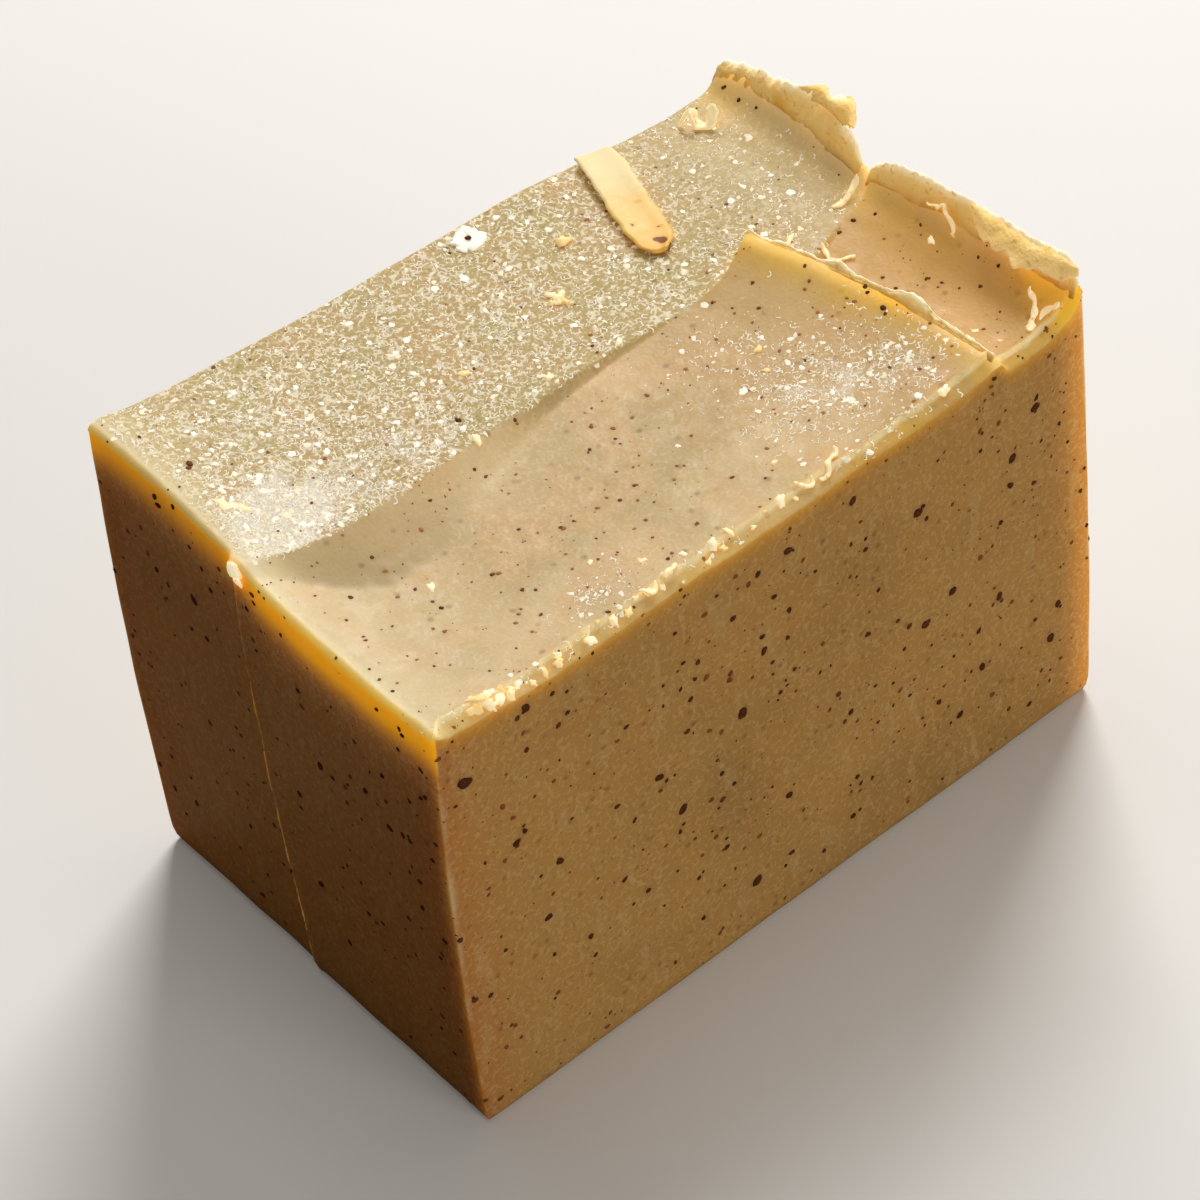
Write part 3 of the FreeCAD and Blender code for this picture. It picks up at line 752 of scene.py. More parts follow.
def standing_lip(rows, start, tooth, seed):
    """One lip: a sheet that starts in the scoop, bends up and outwards and ends in a torn edge.

    It starts so far inside its line, and its torn edge has teeth of about the given height.
    """
    at, (x, y, crest, lean, foot) = even_places(rows, LIP_STEP)
    torn = tooth * (0.8 * waves_along(at, 1.9, seed) + 0.7 * waves_along(at, 0.9, seed + 1)
                    + 0.25 * waves_along(at, 0.4, seed + 2))
    wave = 0.5 * waves_along(at, 2.6, seed + 3)
    up = np.linspace(0, 1, LIP_ROWS)
    inwards = start * (1 + 0.8 * wave)[:, None] * np.clip(1 - up / LIP_START_PART, 0, 1)
    rise = np.clip((up - LIP_START_PART) / (1 - LIP_START_PART), 0, 1)
    foot_x, foot_y = x[:, None] - inwards, y[:, None] + 0 * up
    ground = top_height(foot_x.ravel(), foot_y.ravel())[0].reshape(foot_x.shape)
    ground = ground - 0.35 * (1 - ease(up / 0.3))
    height = np.maximum(crest + torn - ground[:, -1], 0.3)
    bend = (lean * (1 + wave))[:, None]
    level = 2 * rise + 0 * foot_x
    crease = 0.16 * waves(foot_x, foot_y, level, 1.3, seed + 4)
    crease = (crease + 0.12 * waves(foot_x, foot_y, level, 0.5, seed + 5)) * ease(up / 0.5)
    centres = np.stack([foot_x + bend * rise ** 1.5 + crease, foot_y + 0.25 * wave[:, None] * rise ** 2,
                        ground + height[:, None] * (rise ** 0.9 - 0.10 * rise ** 4 * (bend > 0.9))], -1)
    thickness = foot[:, None] * (1 - up) ** 1.3 + 0.09 + 0.04 * waves(foot_x, foot_y, level, 0.8, seed)
    points, faces = thin_sheet(centres, thickness)
    return points, faces, np.tile((up + 0 * foot_x).ravel(), 2)


def folded_flap(rows, tooth, seed):
    """A flap between its line on the lip and its free edge, with a low arch and a torn edge."""
    _, columns = even_places(rows, LIP_STEP)
    root, edge = np.stack(columns[:3], -1), np.stack(columns[3:], -1)
    at = np.arange(len(root)) * LIP_STEP
    torn = tooth * (waves_along(at, 2.2, seed) + 0.35 * waves_along(at, 0.8, seed + 1))
    over = np.linspace(0, 1, LIP_ROWS)
    reach = over * (1 + torn[:, None] * over)
    centres = root[:, None] + (edge - root)[:, None] * reach[..., None]
    centres[..., 2] += FLAP_ARCH * np.sin(math.pi * np.clip(reach, 0, 1))
    centres[..., 2] += 0.25 * waves(centres[..., 0], centres[..., 1], centres[..., 2], 1.5, seed + 2)
    points, faces = thin_sheet(centres, 0.15 - 0.07 * over + 0 * at[:, None])
    return points, faces, np.tile((0.35 + 0.4 * over + 0 * at[:, None]).ravel(), 2)


def join_parts(name, parts, mark_name="part_way"):
    """One smooth mesh from several sets of points, faces and a number for each point."""
    starts = np.cumsum([0] + [len(points) for points, _, _ in parts])
    points = np.concatenate([points for points, _, _ in parts])
    faces = [[int(start + corner) for corner in face]
             for start, (_, part_faces, _) in zip(starts, parts) for face in part_faces]
    mesh = bpy.data.meshes.new(name)
    mesh.from_pydata((points * MM).tolist(), [], faces)
    mesh.update()
    mesh.shade_smooth()
    layer = mesh.attributes.new(mark_name, "FLOAT", "POINT")
    values = np.concatenate([numbers for _, _, numbers in parts])
    layer.data.foreach_set("value", values.astype(np.float32))
    piece = bpy.data.objects.new(name, mesh)
    bpy.context.collection.objects.link(piece)
    return piece


def curl_soap():
    """Thin soap: amber and honey at the foot, and pale yellowish white at the torn edge.

    Its faint light of its own is the lamp's light, which passes through real soap this thin.
    """
    material, tree, shader, place = new_finish("thin_soap")
    way = mark(tree, "part_way")
    mottle = cloud(tree, place, 0.7, 3.0, 0.6)
    pits = band(tree, mottle, 0.57, 0.70, 0.0, 0.75)
    amber_spots = band(tree, cloud(tree, place, 3.5, 1.0), 0.4, 0.6)
    foot = blend(tree, amber_spots, colour(238, 196, 114), colour(228, 172, 68))
    skin = blend(tree, band(tree, way, 0.15, 0.75), foot, colour(250, 212, 134))
    skin = blend(tree, band(tree, way, 0.65, 1.0), skin, colour(255, 240, 200))
    skin = blend(tree, pits, skin, colour(214, 164, 88))
    # Painted glow: faint at the foot, brighter towards the torn edge and on the crumbs, and brightest on
    # the knob, whose tone is set past 1.
    lit = combine(tree, "ADD", band(tree, way, 0.0, 0.3, 0.06, 0.30), band(tree, way, 0.5, 1.4, 0.0, 0.30))
    set_inputs(tree, shader, {
        "Base Color": skin, "Roughness": band(tree, mottle, 0.3, 0.7, 0.34, 0.58), "IOR": SOAP_IOR,
        "Specular IOR Level": 0.3, "Emission Color": skin, "Emission Strength": lit,
        "Normal": relief(tree, mottle, 0.7, 0.0003)})
    return material


thin_soap = curl_soap()
lips = join_parts("curled_lips", [
    standing_lip(BACK_LIP, start=0.6, tooth=0.7, seed=31),
    standing_lip(END_LIP, start=0.6, tooth=0.25, seed=35),
    standing_lip(FRONT_LIP, start=0.4, tooth=0.30, seed=39),
    folded_flap(END_FLAP, tooth=0.35, seed=43), folded_flap(BACK_FLAP, tooth=0.8, seed=46)])
lips.data.materials.append(thin_soap)
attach(lips, "root")

# The grains: dark ground grains that were stirred into the soap. The saw and the blade cut them
# off level with the surface, so each one shows as a small brown dot, a little proud of it.
SIDE_GRAINS_PER_MM2 = 0.15
TOP_GRAINS_PER_MM2 = 0.25
# The largest ones on the front face: where along it, how high and how wide, and the same for
# the left end, where the first number is how far back.
FRONT_GRAINS = (
    (-38.1, 46.5, 1.7), (-6.1, 31.5, 1.5), (-5.4, 7.1, 1.4), (17.6, 26.3, 1.3), (16.7, 41.8, 1.3),
    (35.0, 11.9, 1.3), (-14.0, 24.4, 1.3), (32.2, 45.2, 1.3), (0.4, 48.1, 1.2), (-30.7, 50.5, 1.1),
    (29.3, 40.5, 1.2), (21.2, 28.3, 1.2), (-16.5, 30.6, 1.1), (-28.8, 28.8, 1.1), (27.7, 23.1, 1.1),
    (22.2, 10.2, 1.0), (-33.3, 34.9, 1.0), (29.0, 37.1, 1.0), (35.9, 16.2, 1.0), (8.5, 48.9, 1.0),
    (-30.7, 22.5, 1.0), (-0.8, 16.0, 1.0), (25.3, 14.8, 1.0), (-3.1, 37.6, 1.0),
)
LEFT_GRAINS = (
    (11.2, 44.6, 1.0), (-6.9, 36.5, 0.9), (-3.3, 17.1, 0.9), (-16.9, 36.2, 0.8), (1.7, 15.1, 0.7),
    (18.5, 10.8, 0.7), (16.9, 44.6, 0.7), (-23.2, 25.8, 0.7), (-2.5, 29.3, 0.7), (22.4, 9.9, 0.7),
    (-20.4, 28.1, 0.7), (-13.1, 19.7, 0.6), (-22.9, 48.3, 0.6), (1.7, 50.4, 0.6), (15.2, 54.9, 0.8),
    (14.8, 54.1, 0.8), (10.4, 51.9, 0.5), (8.9, 50.2, 0.5), (-3.4, 50.8, 0.5), (-20.6, 50.9, 0.6),
)
# The ones on the top: where along the bar, where across it and how wide.
TOP_GRAINS = (
    (-36.2, 14.9, 0.8), (-36.6, 14.4, 0.6), (25.0, -9.9, 0.5), (24.7, -10.5, 0.4), (24.5, -12.8, 0.6),
    (24.2, -13.4, 0.4), (23.1, -3.6, 0.4), (31.3, 0.4, 0.5), (33.3, 0.5, 0.5), (35.1, -0.7, 0.4),
    (36.6, 20.5, 0.5), (37.0, 23.0, 0.4), (36.7, 18.0, 0.35), (-29.2, -12.2, 0.45), (-13.2, 4.6, 0.6),
    (29.8, -9.0, 0.4), (34.6, -15.6, 0.4), (33.0, -12.0, 0.35), (36.4, -13.5, 0.35), (36.6, -16.0, 0.4),
)


def luck(tree, output, limits, seed, kind="FLOAT"):
    """A random number for each chip; its kind of number says which output and limits it uses."""
    sources = {**limits, "Seed": seed}
    return add_node(tree, "FunctionNodeRandomValue", sources, data_type=kind).outputs[output]


def bow(tree, shape, amount):
    """Bends a long chip sideways, the more the further from its middle."""
    place = tree.nodes.new("GeometryNodeInputPosition").outputs["Position"]
    along = add_node(tree, "ShaderNodeSeparateXYZ", {"Vector": place}).outputs["X"]
    sideways = combine(tree, "MULTIPLY", combine(tree, "MULTIPLY", along, along), amount / 4)
    push = add_node(tree, "ShaderNodeCombineXYZ", {"Y": sideways}).outputs["Vector"]
    return add_node(tree, "GeometryNodeSetPosition", {"Geometry": shape, "Offset": push}).outputs[0]


def chip_shapes(tree, kinds, sides, rings, flat, length, crooked):
    """A few crooked chips to choose from, each made from a squashed ball."""
    shelf = tree.nodes.new("GeometryNodeJoinGeometry")
    for kind in range(kinds):
        ball = add_node(tree, "GeometryNodeMeshUVSphere", {
            "Segments": sides, "Rings": rings, "Radius": 0.5}).outputs["Mesh"]
        place = tree.nodes.new("GeometryNodeInputPosition").outputs["Position"]
        twist = add_node(tree, "ShaderNodeTexNoise", {
            "Vector": place, "W": 3.7 * kind, "Scale": 1.6, "Detail": 1.0}, noise_dimensions="4D")
        middle = add_node(tree, "ShaderNodeVectorMath", {
            0: twist.outputs["Color"], 1: (0.5, 0.5, 0.5)}, operation="SUBTRACT").outputs["Vector"]
        push = add_node(tree, "ShaderNodeVectorMath", {0: middle, "Scale": crooked}, operation="SCALE")
        bent = add_node(tree, "GeometryNodeSetPosition", {
            "Geometry": ball, "Offset": push.outputs["Vector"]}).outputs["Geometry"]
        squashed = add_node(tree, "GeometryNodeTransform", {
            "Geometry": bent, "Scale": (1 + length * kind / kinds, 1.0, flat)}).outputs["Geometry"]
        squashed = bow(tree, squashed, 0.35 * length * math.sin(2.4 * kind + 1))
        chip = add_node(tree, "GeometryNodeGeometryToInstance", {0: squashed})
        tree.links.new(chip.outputs["Instances"], shelf.inputs["Geometry"])
    return shelf.outputs["Geometry"]


def thread_shapes(tree, kinds):
    """A few thin bent threads to choose from."""
    shelf = tree.nodes.new("GeometryNodeJoinGeometry")
    outline = add_node(tree, "GeometryNodeCurvePrimitiveCircle", {"Resolution": 3, "Radius": 0.085})
    for kind in range(kinds):
        bend, hook = 0.75 * math.sin(2.1 * kind + 0.5), 0.7 * math.sin(3.7 * kind + 2)
        line = add_node(tree, "GeometryNodeCurvePrimitiveBezierSegment", {
            "Resolution": 5, "Start": (-0.4, 0, 0), "Start Handle": (-0.2, bend, 0.12),
            "End Handle": (0.2, hook, 0.12), "End": (0.4, 0.2 * bend, 0)})
        tube = add_node(tree, "GeometryNodeCurveToMesh", {
            "Curve": line.outputs["Curve"], "Profile Curve": outline.outputs["Curve"],
            "Fill Caps": True}).outputs["Mesh"]
        flat = add_node(tree, "GeometryNodeTransform", {"Geometry": tube, "Scale": (1, 1, 0.35)})
        thread = add_node(tree, "GeometryNodeGeometryToInstance", {0: flat.outputs["Geometry"]})
        tree.links.new(thread.outputs["Instances"], shelf.inputs["Geometry"])
    return shelf.outputs["Geometry"]


def scatter_tree(name, material, seed, kinds, draw_shapes, **look):
    """A tree that strews chips over a surface, as thick as one of its marks says."""
    tree = bpy.data.node_groups.new(name, "GeometryNodeTree")
    tree.is_modifier = True
    for socket, kind in (("Surface", "NodeSocketGeometry"), ("Chips per square metre", "NodeSocketFloat"),
                         ("Smallest", "NodeSocketFloat"), ("Largest", "NodeSocketFloat"),
                         ("Rarity of large ones", "NodeSocketFloat"), ("Cover", "NodeSocketString")):
        tree.interface.new_socket(socket, in_out="INPUT", socket_type=kind)
    tree.interface.new_socket("Chips", in_out="OUTPUT", socket_type="NodeSocketGeometry")
    given = tree.nodes.new("NodeGroupInput").outputs
    cover = add_node(tree, "GeometryNodeInputNamedAttribute", {"Name": given["Cover"]}, data_type="FLOAT")
    density = combine(tree, "MULTIPLY", cover.outputs["Attribute"], given["Chips per square metre"])
    strewn = add_node(tree, "GeometryNodeDistributePointsOnFaces", {
        "Mesh": given["Surface"], "Density": density, "Seed": seed}, distribute_method="RANDOM")
    rare = combine(tree, "POWER", luck(tree, 1, {}, seed + 1), given["Rarity of large ones"])
    spread = combine(tree, "SUBTRACT", given["Largest"], given["Smallest"])
    size = combine(tree, "ADD", combine(tree, "MULTIPLY", rare, spread), given["Smallest"])
    turn = luck(tree, 1, {3: 2 * math.pi}, seed + 2)
    spin = add_node(tree, "FunctionNodeAxisAngleToRotation", {"Angle": turn}).outputs["Rotation"]
    lying = add_node(tree, "FunctionNodeRotateRotation", {
        "Rotation": strewn.outputs["Rotation"], "Rotate By": spin}, rotation_space="LOCAL")
    placed = add_node(tree, "GeometryNodeInstanceOnPoints", {
        "Points": strewn.outputs["Points"], "Instance": draw_shapes(tree, kinds, **look),
        "Pick Instance": True, "Instance Index": luck(tree, 2, {4: 0, 5: kinds - 1}, seed + 3, "INT"),
        "Rotation": lying.outputs["Rotation"], "Scale": size})
    toned = add_node(tree, "GeometryNodeStoreNamedAttribute", {
        "Geometry": placed.outputs["Instances"], "Name": "tone", "Value": luck(tree, 1, {}, seed + 4)},
        data_type="FLOAT", domain="INSTANCE")
    real = add_node(tree, "GeometryNodeRealizeInstances", {"Geometry": toned.outputs["Geometry"]})
    dressed = add_node(tree, "GeometryNodeSetMaterial", {
        "Geometry": real.outputs["Geometry"], "Material": material})
    tree.links.new(dressed.outputs["Geometry"], tree.nodes.new("NodeGroupOutput").inputs["Chips"])
    return tree


def strew(name, tree, cover, per_mm2, smallest_mm, largest_mm, rarity):
    """Strews the bar with chips and gives them as one plain mesh."""
    piece = bpy.data.objects.new(name, bar.data)
    bpy.context.collection.objects.link(piece)
    modifier = piece.modifiers.new("strewn", "NODES")
    modifier.node_group = tree
    sizes = {"Chips per square metre": per_mm2 / MM ** 2, "Smallest": smallest_mm * MM,
             "Largest": largest_mm * MM, "Rarity of large ones": rarity, "Cover": cover}
    for socket in tree.interface.items_tree:
        if socket.name in sizes:
            modifier[socket.identifier] = sizes[socket.name]
    evaluated = piece.evaluated_get(bpy.context.evaluated_depsgraph_get())
    chips = bpy.data.meshes.new_from_object(evaluated)
    piece.modifiers.remove(modifier)
    piece.data = chips
    chips.name = name
    return piece


def grain_finish(name, darkest, lightest):
    """The grains' surface: brown, some nearly black and some reddish."""
    material, tree, shader, place = new_finish(name)
    mottle = cloud(tree, place, 0.25)
    skin = blend(tree, band(tree, mark(tree, "tone"), 0.3, 0.9), darkest, lightest)
    skin = blend(tree, band(tree, mottle, 0.5, 0.75, 0.0, 0.5), skin, colour(136, 92, 52))
    set_inputs(tree, shader, {
        "Base Color": skin, "Roughness": band(tree, mottle, 0.3, 0.7, 0.45, 0.75),
        "Specular IOR Level": 0.08, "Normal": relief(tree, mottle, 0.5, 0.00005)})
    return material


GRAIN_LOOK = {"kinds": 5, "draw_shapes": chip_shapes, "sides": 8, "rings": 4, "flat": 0.28, "length": 0.7,
              "crooked": 0.8}
dark_grain = grain_finish("dark_grain", colour(84, 42, 18), colour(150, 86, 42))
pared_grain = grain_finish("pared_grain", colour(122, 62, 24), colour(186, 116, 58))
grain_tree = scatter_tree("grains", dark_grain, 3, **GRAIN_LOOK)
cut_grains = strew("cut_grains", grain_tree, "cut_grains", SIDE_GRAINS_PER_MM2,
                   smallest_mm=0.15, largest_mm=0.62, rarity=1.9)
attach(cut_grains, "root")
pared_tree = scatter_tree("grains_on_top", pared_grain, 7, **GRAIN_LOOK)
pared_grains = strew("pared_grains", pared_tree, "pared_grains", TOP_GRAINS_PER_MM2,
                     smallest_mm=0.10, largest_mm=0.44, rarity=2.4)
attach(pared_grains, "root")


skin_tree = BVHTree.FromObject(bar, bpy.context.evaluated_depsgraph_get())
# How far from the bar's middle a line that feels for its skin starts.
OUTSIDE = 70


def skin_point(start, way):
    """Where a straight line first meets the bar's skin, in millimetres, and the slope there."""
    spot, slope, _, _ = skin_tree.ray_cast(Vector(start) * MM, Vector(way))
    return spot / MM, slope


def on_soap(x, y, lift=0.0):
    """The place on the pared top above a point, in millimetres, and the slope there."""
    place, slope = skin_point((x, y, OUTSIDE), (0, 0, -1))
    return place + Vector((0, 0, lift)), slope


def lump(place, slope, size, squash, seed, lobes=0.0, shade=0.85, sides=14, rings=9):
    """A crooked lump that lies on the skin, with lobes where asked: its points, faces and tone."""
    turn = (2 * math.pi * np.arange(sides) / sides)[None, :]
    climb = (math.pi * np.arange(1, rings) / rings)[:, None]
    ball = np.stack([np.sin(climb) * np.cos(turn), np.sin(climb) * np.sin(turn),
                     np.cos(climb) + 0 * turn], -1)
    ball = np.concatenate([[[0, 0, 1]], ball.reshape(-1, 3), [[0, 0, -1]]])
    swell = 1 + 0.32 * waves(*ball.T, 0.9, seed) + 0.14 * waves(*ball.T, 0.35, seed + 0.5)
    ball *= swell[:, None]
    heading = np.arctan2(ball[:, 1], ball[:, 0])
    ball[:, :2] *= 1 + lobes * np.cos((2 + round(seed) % 3) * heading + seed)[:, None]
    ball[:, :2] *= 1 + 0.8 * lobes * np.cos(5 * heading + 2 * seed)[:, None]
    upright = np.array(Vector(slope).to_track_quat("Z", "X").to_matrix())
    spun = np.array(Matrix.Rotation(seed * 2.399, 3, "Z"))
    points = (ball * np.array(squash) * size / 2) @ spun.T @ upright.T + np.array(place)
    faces = [[0, 1 + side, 1 + (side + 1) % sides] for side in range(sides)]
    for row in range(rings - 2):
        for side in range(sides):
            here, there = 1 + row * sides + side, 1 + row * sides + (side + 1) % sides
            faces.append([here, here + sides, there + sides, there])
    last = len(ball) - 1
    faces += [[last, last - sides + (side + 1) % sides, last - sides + side] for side in range(sides)]
    return points, faces, np.full(len(points), shade + 0.12 * math.sin(seed * 5.1))


large = []
for number, (x, z, size) in enumerate(FRONT_GRAINS, 1):
    place, slope = skin_point((x, -OUTSIDE, z), (0, 1, 0))
    large.append(lump(place, slope, 0.88 * size, (0.82, 1.15, 0.22), number, shade=0.3))
for number, (y, z, size) in enumerate(LEFT_GRAINS, 31):
    place, slope = skin_point((-OUTSIDE, y, z), (1, 0, 0))
    large.append(lump(place, slope, size, (0.8, 1.2, 0.22), number, shade=0.3))
for number, (x, y, size) in enumerate(TOP_GRAINS, 51):
    place, slope = on_soap(x, y)
    large.append(lump(place, slope, size, (0.9, 1.1, 0.35), number, shade=0.5))
# The one that sits in the middle of the white flake.
flake_middle = (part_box("flake_crumb")[0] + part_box("flake_crumb")[1]) / 2 / MM
place, slope = on_soap(flake_middle.x, flake_middle.y, 0.32)
large.append(lump(place, slope, 0.65, (1.0, 0.9, 0.5), 75, shade=0.5))
large_grains = join_parts("large_grains", large, "tone")
large_grains.data.materials.append(dark_grain)
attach(large_grains, "root")

# The ash: a bloom of small white chips and curls of dried soap on the rough back scoop, thickest
# by the left rim, with patches of it on the front scoop and along the front edge.
ASH_PER_MM2 = 6.0
WHISKERS_PER_MM2 = 9.0
# A faint painted glow that keeps the ash white where it lies in shade.
ASH_GLOW = 0.24


def ash_finish():
    """The ash's surface: dull yellowish white, a little uneven, with a faint painted glow that lightens its
    shaded sides.
    """
    material, tree, shader, place = new_finish("white_ash")
    mottle = cloud(tree, place, 0.3)
    tone = band(tree, mark(tree, "tone"), 0.0, 1.0)
    skin = blend(tree, tone, colour(246, 232, 198), colour(255, 252, 238))
    skin = blend(tree, band(tree, mottle, 0.5, 0.8, 0.0, 0.4), skin, colour(226, 204, 158))
    set_inputs(tree, shader, {
        "Base Color": skin, "Roughness": band(tree, mottle, 0.3, 0.7, 0.62, 0.85),
        "Specular IOR Level": 0.2, "Emission Color": skin, "Emission Strength": ASH_GLOW,
        "Normal": relief(tree, mottle, 0.6, 0.00006)})
    return material


white_ash = ash_finish()
chip_tree = scatter_tree("ash_chips", white_ash, 11, 8, chip_shapes,
                         sides=7, rings=3, flat=0.14, length=1.0, crooked=2.0)
ash_chips = strew("ash_chips", chip_tree, "bloom", ASH_PER_MM2,
                  smallest_mm=0.10, largest_mm=0.58, rarity=5.0)
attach(ash_chips, "root")
whisker_tree = scatter_tree("ash_whiskers", white_ash, 21, 9, thread_shapes)
ash_whiskers = strew("ash_whiskers", whisker_tree, "bloom", WHISKERS_PER_MM2,
                     smallest_mm=0.30, largest_mm=0.95, rarity=1.7)
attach(ash_whiskers, "root")

# The shaving: one pared strip of soap that lies across the back scoop. It is pale where it is
# thick and dry, and amber towards the round end that lies nearer the front, with brown grains.

# Its line from back to front: x, y, how far it lies above the scoop and how wide it is.
SHAVING_LINE = (
    (20.7, 24.6, 0.55, 4.0), (20.0, 21.5, 0.55, 4.4), (18.9, 18.0, 0.35, 4.3), (17.9, 14.5, 0.2, 4.4),
    (17.1, 11.8, 0.25, 4.1), (16.5, 10.2, 0.35, 3.2), (16.2, 9.4, 0.4, 1.6),
)
SHAVING_THICKNESS = 0.42
# A faint painted glow that lightens the strip's shaded side.
SHAVING_GLOW = 0.14
# Brown grains in it: how far along the strip, how far off its middle, and how wide.
BROWN_SPOTS = ((14.6, 0.7, 0.6), (14.2, 0.2, 0.4), (11.2, -1.0, 0.3), (8.4, 0.9, 0.28),
               (12.6, 1.2, 0.25))


def beside(x, y, gap):
    """The places at some gaps to the left and the right of a line."""
    heading = np.stack([np.gradient(x), np.gradient(y)], -1)
    heading /= np.linalg.norm(heading, axis=-1, keepdims=True) + 1e-9
    return x[:, None] - heading[:, 1:] * gap, y[:, None] + heading[:, :1] * gap


def shaving_sheet():
    """The strip's points and faces: it hugs the scoop, with frayed sides and a raised back end."""
    at, (x, y, lift, width) = even_places(SHAVING_LINE, 0.25)
    over = np.linspace(-1, 1, 13)
    fray = [0.24 * waves_along(at, 1.6, seed) + 0.14 * waves_along(at, 0.5, seed + 1) for seed in (51, 53)]
    reach = width[:, None] / 2 + np.where(over < 0, fray[0][:, None], fray[1][:, None])
    sheet_x, sheet_y = beside(x, y, over * reach)
    under = top_height(sheet_x.ravel(), sheet_y.ravel())[0].reshape(sheet_x.shape)
    hugging = 0.3 * under + 0.7 * under[:, 6:7]
    sheet_z = hugging + lift[:, None] + SHAVING_THICKNESS / 2 + 0.25 * over ** 2
    centres = np.stack([sheet_x, sheet_y, sheet_z], -1)
    thickness = SHAVING_THICKNESS * (1 - 0.65 * np.abs(over) ** 6) + 0 * at[:, None]
    points, faces = thin_sheet(centres, thickness)
    way = at[:, None] / at[-1] + 0 * over
    for spot_at, spot_over, radius in BROWN_SPOTS:
        gap = np.hypot(at[:, None] - spot_at, over * reach - spot_over)
        way = way + 1.0 * ease(1.3 - gap / radius)
    return points, faces, np.tile(way.ravel(), 2)


def shaving_finish():
    """The strip's surface: pale and dull at the back, see-through amber at the front, with its grains and a
    faint painted glow.
    """
    material, tree, shader, place = new_finish("shaving_soap")
    way = mark(tree, "part_way")
    streak = cloud(tree, place, 1.2, 3.0, 0.6)
    edge = combine(tree, "ADD", way, band(tree, streak, 0.2, 0.8, -0.12, 0.12))
    skin = blend(tree, band(tree, edge, 0.25, 0.62), colour(248, 226, 172), colour(246, 206, 124))
    skin = blend(tree, band(tree, edge, 0.62, 1.0), skin, colour(238, 182, 88))
    skin = blend(tree, band(tree, streak, 0.62, 0.80, 0.0, 0.4), skin, colour(248, 232, 184))
    skin = blend(tree, band(tree, way, 1.15, 1.5), skin, colour(134, 70, 24))
    set_inputs(tree, shader, {
        "Base Color": skin, "Roughness": band(tree, way, 0.3, 0.8, 0.62, 0.40), "IOR": SOAP_IOR,
        "Specular IOR Level": 0.2, "Emission Color": skin, "Emission Strength": SHAVING_GLOW,
        "Normal": relief(tree, streak, 0.4, 0.0001)})
    return material


shaving = join_parts("soap_shaving", [shaving_sheet()])
shaving.data.materials.append(shaving_finish())
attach(shaving, "root")
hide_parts("loose_shaving")

# The crumbs: bits of soap that the blade tore off. A star, a yellow chip, a curl that stands up
# and a white flake with a brown grain in it lie loose on the back scoop. The small crumbs and
# shreds cling to the front edge and to the lips.

# The star's arms: where each lies from the middle, how long it is and how wide.
CRUMB_STAR = ((0, 0, 1.1, 0.9), (0.75, 0.35, 0.8, 0.45), (-0.2, 0.85, 0.7, 0.5), (-0.8, -0.1, 0.7, 0.4),
              (0.25, -0.8, 0.75, 0.45))
# The clinging crumbs: where along the bar, where across it and how wide.
FRONT_EDGE_CRUMBS = (
    (-35.6, -24.5, 1.2), (-34.8, -24.0, 1.6), (-34.2, -24.7, 1.3), (-33.6, -24.0, 1.1), (-33.0, -24.8, 1.1),
    (-35.0, -23.6, 0.8), (-32.4, -24.3, 0.7), (-31.9, -25.0, 0.9), (-30.8, -24.6, 0.6), (-28.1, -9.4, 0.8),
    (-29.4, -25.0, 0.6), (-27.9, -24.9, 0.7), (-26.3, -24.8, 0.9), (-25.9, -24.3, 0.6), (-22.5, -24.7, 0.9),
    (-19.6, -24.5, 0.9), (-18.0, -24.7, 0.8), (-15.1, -24.3, 0.9), (-12.9, -20.7, 0.7), (-9.9, -22.9, 0.6),
    (-7.3, -24.0, 1.0), (-8.7, -24.9, 0.6), (-6.6, -24.6, 0.6), (-5.3, -23.8, 0.8), (0.8, -24.1, 1.0),
    (21.2, -24.3, 1.0), (4.1, -19.7, 0.6), (13.6, -7.2, 0.8), (12.2, -9.9, 0.6), (-16.1, -17.3, 0.5),
    (35.6, -7.9, 0.7), (30.2, -19.3, 0.5), (30.6, -22.2, 0.4), (-8.8, 9.1, 0.9), (-3.2, 3.4, 0.9),
    (5.0, 2.8, 0.7), (-13.6, 1.4, 0.9), (-24.5, -24.2, 0.4), (-21.0, -24.0, 0.4), (-16.7, -24.1, 0.5),
    (-13.8, -24.5, 0.5), (-31.6, -24.7, 0.6), (-3.0, -24.6, 0.5), (-1.2, -24.2, 0.4), (2.2, -24.6, 0.5),
)
